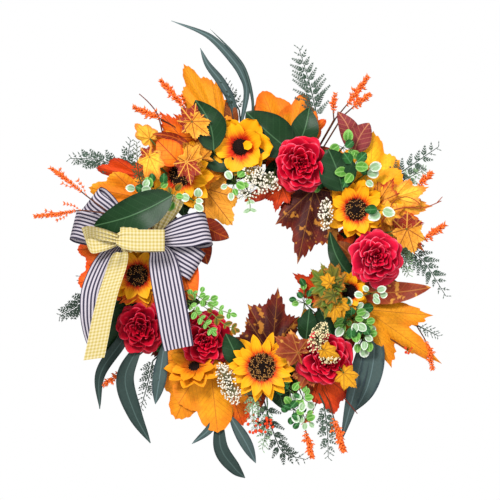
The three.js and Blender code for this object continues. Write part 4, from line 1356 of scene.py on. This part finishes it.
        (oval, (120, -28), (88, 32), 20, (60, 64), "dark", -0.1, -0.1, "gloss"),
    ]),
    ("dusty_leaves_top", "rust_leaf", [
        (oval, (116, 130), (98, 176), 24, (52, 55), "dusty", -0.1, 0.1),
        (oval, (118, 128), (136, 162), 30, (54, 58), "dusty", -0.1, -0.06),
    ]),
    ("orange_leaf_upper_left", "rust_leaf", [
        (oval, (-90, 112), (-117, 140), 32, (84, 84), "orange", -0.2),
    ]),
    ("brown_leaf_right", "rust_leaf", [
        (oval, (122, -4), (96, 20), 22, (52, 56), "brown"),
    ]),
    ("red_leaves_inner_top", "rust_leaf", [
        (oval, (18, 82), (-14, 68), 15, (50, 54), "red"),
    ]),
    ("small_maples_top_left", "orange_leaf", [
        (maple, (-74, 160), (-88, 178), 32, (84, 87), "wine_gold"),
        (maple, (-76, 162), (-56, 146), 30, (85, 88), "golden"),
        (maple, (-124, 117), (-136, 130), 22, (88, 90), "wine_gold"),
        (maple, (-126, 120), (-114, 94), 30, (89, 92), "yellow"),
    ]),
    ("small_maple_upper_left", "orange_leaf", [
        (maple, (-82, 114), (-77, 88), 30, (89, 91), "wine_gold", 0.1),
        (maple, (-80, 112), (-66, 134), 26, (88, 91), "golden", 0.1),
        (maple, (-68, 92), (-44, 116), 30, (58, 60), "amber"),
    ]),
    ("flame_maple_inner_top", "orange_leaf", [
        (maple, (32, 86), (24, 58), 32, (52, 58), "flame"),
    ]),
    ("flame_maple_inner_right", "orange_leaf", [
        (maple, (80, -44), (47, -20), 38, (50, 56), "flame"),
    ]),
    ("orange_maple_left", "orange_leaf", [
        (maple, (-118, -24), (-160, -52), 54, (52, 56), "orange"),
    ]),
    ("mustard_maples", "orange_leaf", [
        (maple, (80, -108), (98, -116), 20, (97, 99), "mustard"),
        (maple, (104, -136), (118, -152), 26, (88, 92), "mustard"),
    ]),
    ("russet_maple_bottom", "orange_leaf", [
        (maple, (50, -112), (24, -94), 34, (84, 86), "russet"),
        (maple, (66, -130), (52, -156), 30, (62, 66), "russet"),
    ]),
    ("olive_maples_right", "orange_leaf", [
        (maple, (90, -40), (66, -26), 25, (82, 86), "moss"),
        (maple, (92, -34), (78, -8), 25, (84, 88), "moss"),
        (maple, (94, -34), (98, -8), 23, (82, 86), "olive"),
        (maple, (88, -46), (68, -58), 24, (80, 84), "olive"),
        (maple, (92, -48), (82, -70), 24, (82, 86), "moss"),
        (maple, (98, -52), (104, -70), 22, (80, 84), "mustard"),
        (maple, (88, -42), (88, -62), 21, (86, 90), "moss"),
        (maple, (84, -32), (66, -42), 21, (88, 90), "moss"),
        (maple, (92, -26), (88, -6), 20, (88, 92), "olive"),
        (maple, (80, -28), (66, -14), 21, (86, 88), "moss"),
        (maple, (92, -44), (76, -48), 18, (91, 93), "olive"),
        (maple, (94, -58), (92, -76), 18, (86, 90), "mustard"),
        (maple, (88, -30), (76, -22), 18, (91, 93), "mustard"),
    ]),
]


def build_sprays():
    for name, stands_for, parts in SPRAYS:
        shape = Shape(local_box(stands_for)[1][1] if stands_for in SLOTS else 0)
        for make, *values in parts:
            make(shape, *values)
        shape.finish(name, stands_for)


# Filler leaves all round the ring, from the vine outward and inward, under everything else
FILLER_PALETTES = ["rust", "dark", "flame", "burgundy", "glossy", "amber", "dark", "brown"]
FILLER_COUNT = 44
FILLER_OUTER = 168  # how far from the ring's centre the outward leaves reach
FILLER_INNER = 92
FILLER_MAPLE_WIDTH = 40
FILLER_OVAL_WIDTH = 22


def build_filler():
    """Four pieces, a quarter of the ring each."""
    for quarter in range(4):
        shape = Shape()
        for i in range(quarter * FILLER_COUNT // 4, (quarter + 1) * FILLER_COUNT // 4):
            angle = 2 * math.pi * i / FILLER_COUNT
            palette = FILLER_PALETTES[i % len(FILLER_PALETTES)]
            aside = angle + RNG.uniform(0.1, 0.26) * (1 if i % 2 else -1)
            for reach in (FILLER_OUTER, FILLER_INNER):
                far = reach + RNG.uniform(-8, 8)
                near = RING_RADIUS + 5 * (1 if reach > RING_RADIUS else -1)
                base = (near * math.cos(angle), near * math.sin(angle))
                tip = (far * math.cos(aside), far * math.sin(aside))
                depths = (BUNDLE_FRONT, BUNDLE_FRONT + RNG.uniform(4, 12))
                if i % 3 == 0 and reach > RING_RADIUS:
                    maple(shape, base, tip, FILLER_MAPLE_WIDTH, depths, palette)
                else:
                    oval(shape, base, tip, FILLER_OVAL_WIDTH, depths, palette, stalk=False)
        shape.finish(f"filler_leaves_{quarter + 1}", "rust_leaf")


# ---------------------------------------------------------------- the heads in their places

POINTED = [(14, 1.0, 0.34, -2, 3, 1), (12, 0.84, 0.3, 1, 5, 2)]
LEAFY = [(10, 1.0, 0.5, -2, 3, 3), (8, 0.82, 0.44, 1, 6, 4)]
BROAD = [(6, 1.0, 0.85, -2, 4, 3), (5, 0.8, 0.66, 1, 8, 4)]
# Shift [x, z] of the head, its scale, facing, petal whorls, sharpness of the petals, florets and
# the share of them with pale tips
SUNFLOWERS = {
    "upper_left": ((6, -3), 1.08, (-0.04, 1, 0.08), LEAFY, 0.7, 150, 0.5),
    "top": ((4, -3), 1.16, (-0.16, 1, -0.10), BROAD, 0.1, 70, 0.0),
    "upper_right": ((2, 2), 1.12, (-0.10, 1, 0.0), LEAFY, 0.3, 160, 0.5),
    "right": ((0, 0), 0.84, (0.0, 1, 0.0), LEAFY, 0.5, 90, 0.0),
    "bottom": ((-3, 2), 1.1, (0.0, 1, 0.04), POINTED, 0.75, 260, 0.65),
    "left": ((-3, 4), 1.14, (-0.1, 1, 0.0), LEAFY, 0.6, 150, 0.5),
}
LOW_FACING = (-0.15, 1, 0.8)  # the half hidden head at the lower left looks up
LOW_SHIFT = (12, 1)  # of its centre, across and up
LOW_RADIUS = 37
LOW_DISC = 8
FACE_BACK = 4.0  # how far the petals' roots are behind the front of the frame's petal disc


def build_sunflowers():
    for place, (shift, scale, facing, whorls, point, florets, tips) in SUNFLOWERS.items():
        petals = f"sunflower_{place}_petals"
        seeds = f"sunflower_{place}_seeds"
        centre = middle_of(seeds)
        low, high = local_box(petals)
        radius = min(high[0] - low[0], high[2] - low[2]) / 2
        seed_low, seed_high = local_box(seeds)
        disc = (seed_high[0] - seed_low[0]) / 2
        head = Head([centre[0] + shift[0], high[1] - FACE_BACK, centre[2] + shift[1]], facing)
        shape = Shape()
        sunflower(shape, head, radius * scale, disc, whorls, point)
        if place == "top":
            sun_petal(shape, head, angle=0.25, root=5, reach=17, width=11, low=8, lift=5, curl=0,
                      silk=[SUN_SILK[0]] * 3, point=0.0)
        shape.finish(petals + "_silk", petals)
        shape = Shape()
        seed_disc(shape, head, disc * 1.02, low=0.5, dome=seed_high[1] - high[1] - 1.0, count=florets,
                  tips=tips)
        shape.finish(seeds + "_florets", seeds)
    node = "sunflower_lower_left_petals"
    centre = middle_of(node)
    front = local_box(node)[1][1]
    shape = Shape()
    head = Head([centre[0] + LOW_SHIFT[0], front - FACE_BACK - 2, centre[2] + LOW_SHIFT[1]], LOW_FACING)
    sunflower(shape, head, LOW_RADIUS, LOW_DISC, LEAFY, point=0.5, silk=SUN_SILK_GOLD)
    seed_disc(shape, head, LOW_DISC, low=0.5, dome=2, count=50, tips=0.0)
    shape.finish(node + "_silk", node)


PEONIES = {
    "top": (0.0, 1, -0.05),
    "right": (0.08, 1, 0.0),
    "lower_left": (-0.05, 1, -0.08),
    "bottom_left": (0.05, 1, -0.1),
    "lower_right": (0.08, 1, -0.08),
}
# The pink rim colour in each of these silks is a painted highlight
PEONY_SILKS_AND_HIGHLIGHTS = {"lower_left": PEONY_DARK, "right": PEONY_PINK}
PEONY_SCALES = {"bottom_left": 1.15, "right": 1.08}
PEONY_HEIGHT = 30
PEONY_CLEARANCE = 12  # the least room kept between the vine and a peony's root


def build_peonies():
    for place, facing in PEONIES.items():
        node = f"peony_{place}"
        low, high = local_box(node)
        centre = middle_of(node)
        radius = (high[2] - low[2]) / 2
        height = min(PEONY_HEIGHT, high[1] - BUNDLE_FRONT - PEONY_CLEARANCE)
        if place == "top":
            centre[0] = low[0] + radius - 2
        radius *= PEONY_SCALES.get(place, 1)
        head = Head([centre[0], high[1] - height, centre[2]], facing)
        shape = Shape()
        peony(shape, head, radius, height, PEONY_SILKS_AND_HIGHLIGHTS.get(place, PEONY_SILK_AND_HIGHLIGHT))
        shape.finish(node + "_silk", node)


# ---------------------------------------------------------------- the bow

STRIPED_WIDTH = 38
GINGHAM_WIDTH = 25
CLOTHS = {"stripe": (STRIPED_WIDTH, "striped_ribbon"), "gingham": (GINGHAM_WIDTH, "gingham_ribbon")}
RIBBON_ROWS = 64
RIBBON_COLUMNS = 21


def ribbon(name, stands_for, cloth, sections, body=None, pleats=3.0):
    """A ribbon through sections of (centre, direction across, width, pleat height), and its flat size."""
    cut, slot = CLOTHS[cloth]
    shape = Shape()
    controls = [[*centre, *unit(across), width, pleat] for centre, across, width, pleat in sections]
    path = smooth_path(controls, RIBBON_ROWS)
    centres, across, widths, pleat = path[:, :3], path[:, 3:6], path[:, 6], path[:, 7]
    across = across / np.linalg.norm(across, axis=1, keepdims=True)
    out = np.cross(across, np.gradient(centres, axis=0))
    out /= np.linalg.norm(out, axis=1, keepdims=True)
    _, v = grid(RIBBON_ROWS, RIBBON_COLUMNS)
    points = centres[:, None, :] + (v * (widths / 2)[:, None])[:, :, None] * across[:, None, :]
    folds = np.cos(pleats * math.pi * v) * pleat[:, None]
    points = points + folds[:, :, None] * out[:, None, :]
    lengths = path_lengths(centres)
    place = columns_of((v + 1) * cut / 2, lengths[:, None] + 0 * v, 0 * v)
    shape.add(points, grid_faces(RIBBON_ROWS, RIBBON_COLUMNS), cloth, hue(WHITE), place=place)
    return shape.finish(name, stands_for or slot, body), (cut * MM, lengths[-1] * MM)


def fold_ribbon(name, stands_for, cloth, sections):
    """A ribbon that turns with the bow. One that stands for no CAD node takes its cloth's slot."""
    piece, flat = ribbon(name, stands_for, cloth, sections, "bow")


def loop_sections(start, end, front, back, width, spread_back=(0, 0), lean=0.0, pinch=12, pleat=2.6):
    """A loop's sections: out along the front from the pinch, round its end and back behind."""
    start = np.asarray(start, float)
    end = np.asarray(end, float)
    ahead = unit(end - start)
    across = np.array([-ahead[1], lean, ahead[0]])
    length = np.linalg.norm(end - start)
    middle = (front + back) / 2
    # Each row: (share of the way out, depth, width, pleat height)
    rows = [(0.0, middle + 2, pinch, pleat), (0.28, front - 1, 0.72 * width, 0.6 * pleat),
            (0.62, front, width, 0.25 * pleat), (0.9, front - 1.5, width, 0.0), (1.0, middle, width, 0.0),
            (0.9, back + 1.5, width, 0.0), (0.62, back, 0.96 * width, 0.25 * pleat),
            (0.28, back + 1, 0.7 * width, 0.6 * pleat), (0.0, middle - 2, pinch, pleat)]
    sections = []
    for i, (share, depth, wide, fold) in enumerate(rows):
        shift = np.asarray(spread_back, float) * (1 if i > 4 else 0.5 if i == 4 else 0) * share
        at = start + ahead * length * share + shift
        sections.append(((at[0], depth, at[1]), across, wide, fold))
    return sections


def build_loops():
    knot = middle_of("bow_knot")
    kx, kz = knot[0], knot[2]
    left_low, left_high = local_box("stripe_loops_left")
    right_high = local_box("stripe_loops_right")[1]
    front = left_high[1] + 3
    back = left_low[1]
    # Name, pinch and far end [x, z], front and back depth, shift of the back half, lean, CAD node
    striped = [
        ("stripe_loop_upper_left", (kx - 8, kz + 2), (left_low[0] + 18, kz + 46), front - 9, back - 3,
         (6, 5), 0.0, "stripe_loops_left"),
        ("stripe_loop_outer_left", (kx - 8, kz), (left_low[0] + 2, kz + 21), front + 1, back + 6,
         (0, -6), -0.45, None),
        ("stripe_loop_upper_right", (kx + 16, kz + 1), (right_high[0] - 3, kz + 17), front + 3, back + 4,
         (2, -6), 0.0, "stripe_loops_right"),
        ("stripe_loop_lower_right", (kx + 20, kz - 2), (right_high[0] - 16, kz - 31), front - 9, back - 3,
         (0, -2), 0.0, None),
    ]
    for name, start, end, high, low, shift, lean, node in striped:
        fold_ribbon(name, node, "stripe", loop_sections(start, end, high, low, STRIPED_WIDTH, shift, lean))

    band_low, band_high = local_box("gingham_loop_left")
    top = band_high[1]
    crease = kx - 26
    sections = [
        ((crease + 2, top + 2, kz + 3), (0, 0.6, 1), 12, 1.6),
        ((crease - 14, top + 3, kz + 7), (0, 0.8, 0.9), 18, 0.6),
        ((band_low[0] + 6, top + 1, kz + 10), (0.05, 0.95, 0.7), 22, 0),
        ((band_low[0] - 1, top - 5, kz + 4), (-0.25, 0.6, 0.9), 25, 0),
        ((band_low[0] + 5, top - 10, kz - 3), (-0.2, 0.1, 1), 25, 0),
        ((crease - 16, top - 10, kz - 3), (0, 0, 1), 20, 0.6),
        ((crease, top - 6, kz - 1), (0, 0, 1), 12, 1.6),
    ]
    fold_ribbon("gingham_loop_left_band", "gingham_loop_left", "gingham", sections)
    end = kx + 31
    sections = [
        ((crease, top + 1, kz + 1), (0, 0, 1), 13, 1.6), ((crease + 9, top + 2, kz + 1), (0, 0, 1), 22, 0.6),
        ((crease + 24, top + 3, kz), (0, 0, 1), 25, 0.2), ((end - 5, top + 2.5, kz), (0, 0, 1), 25, 0),
        ((end, top - 1, kz), (0, 0, 1), 25, 0), ((end - 5, top - 4.5, kz - 1), (0, 0, 1), 25, 0),
        ((crease + 24, top - 5, kz - 1), (0, 0, 1), 25, 0.2),
        ((crease + 4, top - 4, kz), (0, 0, 1), 14, 1.6),
    ]
    fold_ribbon("gingham_loop_right_band", None, "gingham", sections)
    sections = loop_sections((kx + 20, kz + 8), (kx + 38, kz + 54), top - 13, top - 20, GINGHAM_WIDTH,
                             spread_back=(6, 0), lean=0.3, pinch=10, pleat=1.4)
    fold_ribbon("gingham_loop_upper_right", "gingham_loops_right", "gingham", sections)


def build_knot():
    """The knot is a short gingham strap wound once round the gathered ribbons."""
    low, high = local_box("bow_knot")
    kx, kz = (low[0] + high[0]) / 2 - 10, (low[2] + high[2]) / 2
    across = (1, 0, 0.06)
    half = 17
    front = high[1] - 5
    back = low[1] + 8
    sections = [
        ((kx, back, kz), across, 18, 0.8), ((kx, back + 2, kz + 0.7 * half), across, 20, 0.6),
        ((kx, (front + back) / 2, kz + half + 1), across, 22, 0.4),
        ((kx, front, kz + 0.8 * half), across, 23, 0.3),
        ((kx, front + 1, kz), across, 20, 0.8), ((kx, front, kz - 0.6 * half), across, 20, 0.8),
        ((kx, (front + back) / 2, kz - 0.8 * half), across, 19, 0.8),
        ((kx, back + 1, kz - 2), across, 18, 0.8),
    ]
    fold_ribbon("gingham_knot_strap", "bow_knot", "gingham", sections)


def tail_places(node):
    """A tail's middle across, middle depth, top and bottom."""
    low, high = local_box(node)
    return (low[0] + high[0]) / 2, (low[1] + high[1]) / 2, high[2], low[2]


def hang(name, node, cloth, sections):
    """A tail ribbon with two pleats across, kept on no body, its place baked into its mesh."""
    piece, flat = ribbon(name, node, cloth, sections, pleats=2.0)
    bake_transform(piece)


def build_tails():
    kx, _, kz = middle_of("bow_knot")
    mid, depth, top, bottom = tail_places("stripe_tail_right")
    sections = [
        ((kx + 10, depth + 8, kz), (1, 0, 0.3), 12, 2.2),
        ((mid - 15, depth + 4, top + 12), (1, 0, 0.2), 24, 1.4),
        ((mid - 11, depth, top - 3), (1, 0, 0.12), 34, 0.7),
        ((mid - 6, depth + 2, top - 30), (1, 0, 0.14), 37, 0.3),
        ((mid, depth + 3, top - 62), (1, 0, 0.17), 37, 0.2),
        ((mid + 4, depth + 2, top - 86), (1, 0, 0.18), 37, 0.2),
        ((mid + 7.5, depth, bottom + 3), (1, 0, 0.2), 36, 0),
    ]
    hang("stripe_tail_right_ribbon", "stripe_tail_right", "stripe", sections)

    mid, depth, top, bottom = tail_places("stripe_tail_left")
    sections = [
        ((kx - 20, depth + 6, kz - 2), (1, 0, -0.3), 12, 2.2),
        ((mid + 13, depth + 3, top + 7), (1, 0.1, -0.3), 26, 1.4),
        ((mid + 3, depth, top - 12), (1, 0.1, -0.2), 34, 0.8),
        ((mid - 6, depth + 2, top - 38), (1, 0.15, -0.1), 37, 0.4),
        ((mid - 8, depth + 2, top - 64), (1, 0.3, 0), 37, 0.2),
        ((mid - 7, depth + 1, top - 84), (1, 0.55, 0.15), 36, 0.1),
        ((mid - 4, depth, bottom + 2), (1, 0.9, 0.5), 34, 0),
    ]
    hang("stripe_tail_left_ribbon", "stripe_tail_left", "stripe", sections)

    mid, depth, top, bottom = tail_places("gingham_tail")
    sections = [
        ((mid + 18, depth + 11, top + 9), (1, 0, 0.1), 17, 1.4),
        ((mid + 16, depth + 8, top + 2), (1, 0, 0.15), 22, 0.8),
        ((mid + 12, depth + 2, top - 12), (1, 0, 0.2), 25, 0.3),
        ((mid + 3, depth + 3, top - 40), (1, 0, 0.22), 25, 0),
        ((mid - 4, depth + 3, top - 68), (1, 0, 0.18), 25, 0),
        ((mid - 9, depth + 2, top - 94), (1, 0, 0.16), 25, 0),
        ((mid - 14, depth, bottom + 1), (1, 0, 0.14), 25, 0),
    ]
    hang("gingham_tail_ribbon", "gingham_tail", "gingham", sections)


# ---------------------------------------------------------------- camera, light and floor

CAMERA_DISTANCE = 2.4
CAMERA_FIELD = 0.6  # width seen at the middle of the wreath's depth
SENSOR = 36
FLOOR_DROP = 0.16
FLOOR_RADIUS = 0.65
CAMERA_SHIFT = (-0.007, 0.0096)  # from the ring's centre, to the right and up
KEY_LIGHT = ((-0.7, -1.7, 0.9), 0.6, 47)  # place, size and watts
FILL_LIGHT = ((1.2, -1.6, 0.2), 1.0, 9)
FLOOR_GREY = 0.9
AMBIENT = 0.52  # light from all round on the object; the backdrop itself is white


def set_camera():
    low, high = CAD_BOUNDS
    data = bpy.data.cameras.new("camera")
    data.sensor_width = SENSOR
    data.lens = SENSOR * CAMERA_DISTANCE / CAMERA_FIELD
    camera = bpy.data.objects.new("camera", data)
    middle_depth = (low.y + high.y) / 2
    camera.location = (RING.x + CAMERA_SHIFT[0], middle_depth - CAMERA_DISTANCE, RING.z + CAMERA_SHIFT[1])
    camera.rotation_euler = (math.pi / 2, 0, 0)
    bpy.context.scene.collection.objects.link(camera)
    bpy.context.scene.camera = camera


def add_light(name, place, size, watts):
    data = bpy.data.lights.new(name, "AREA")
    data.size = size
    data.energy = watts
    light = bpy.data.objects.new(name, data)
    light.location = place
    light.rotation_euler = (RING - Vector(place)).to_track_quat("-Z", "Y").to_euler()
    bpy.context.scene.collection.objects.link(light)


def set_studio():
    world = bpy.data.worlds.new("studio")
    bpy.context.scene.world = world
    world.use_nodes = True
    tree = world.node_tree
    background = tree.nodes["Background"]
    background.inputs["Color"].default_value = (1, 1, 1, 1)
    paths = tree.nodes.new("ShaderNodeLightPath")
    strength = tree.nodes.new("ShaderNodeMapRange")
    strength.inputs["To Min"].default_value = AMBIENT
    tree.links.new(paths.outputs["Is Camera Ray"], strength.inputs["Value"])
    tree.links.new(strength.outputs[0], background.inputs["Strength"])
    add_light("key_light", *KEY_LIGHT)
    add_light("fill_light", *FILL_LIGHT)
    bpy.context.scene.view_settings.view_transform = "Standard"
    low = CAD_BOUNDS[0]
    bpy.ops.mesh.primitive_circle_add(vertices=64, radius=FLOOR_RADIUS, fill_type="NGON",
                                      location=(RING.x, 0, low.z - FLOOR_DROP))
    floor = bpy.context.object
    floor.name = "studio_floor"
    shader = Shader("pale_floor", roughness=0.8)
    floor.data.materials.append(shader.paint((FLOOR_GREY, FLOOR_GREY, FLOOR_GREY, 1)))


set_camera()
set_studio()
build_vine()
build_ties()
build_hanger()
build_sprays()
build_filler()
build_sunflowers()
build_peonies()
build_loops()
build_knot()
build_tails()
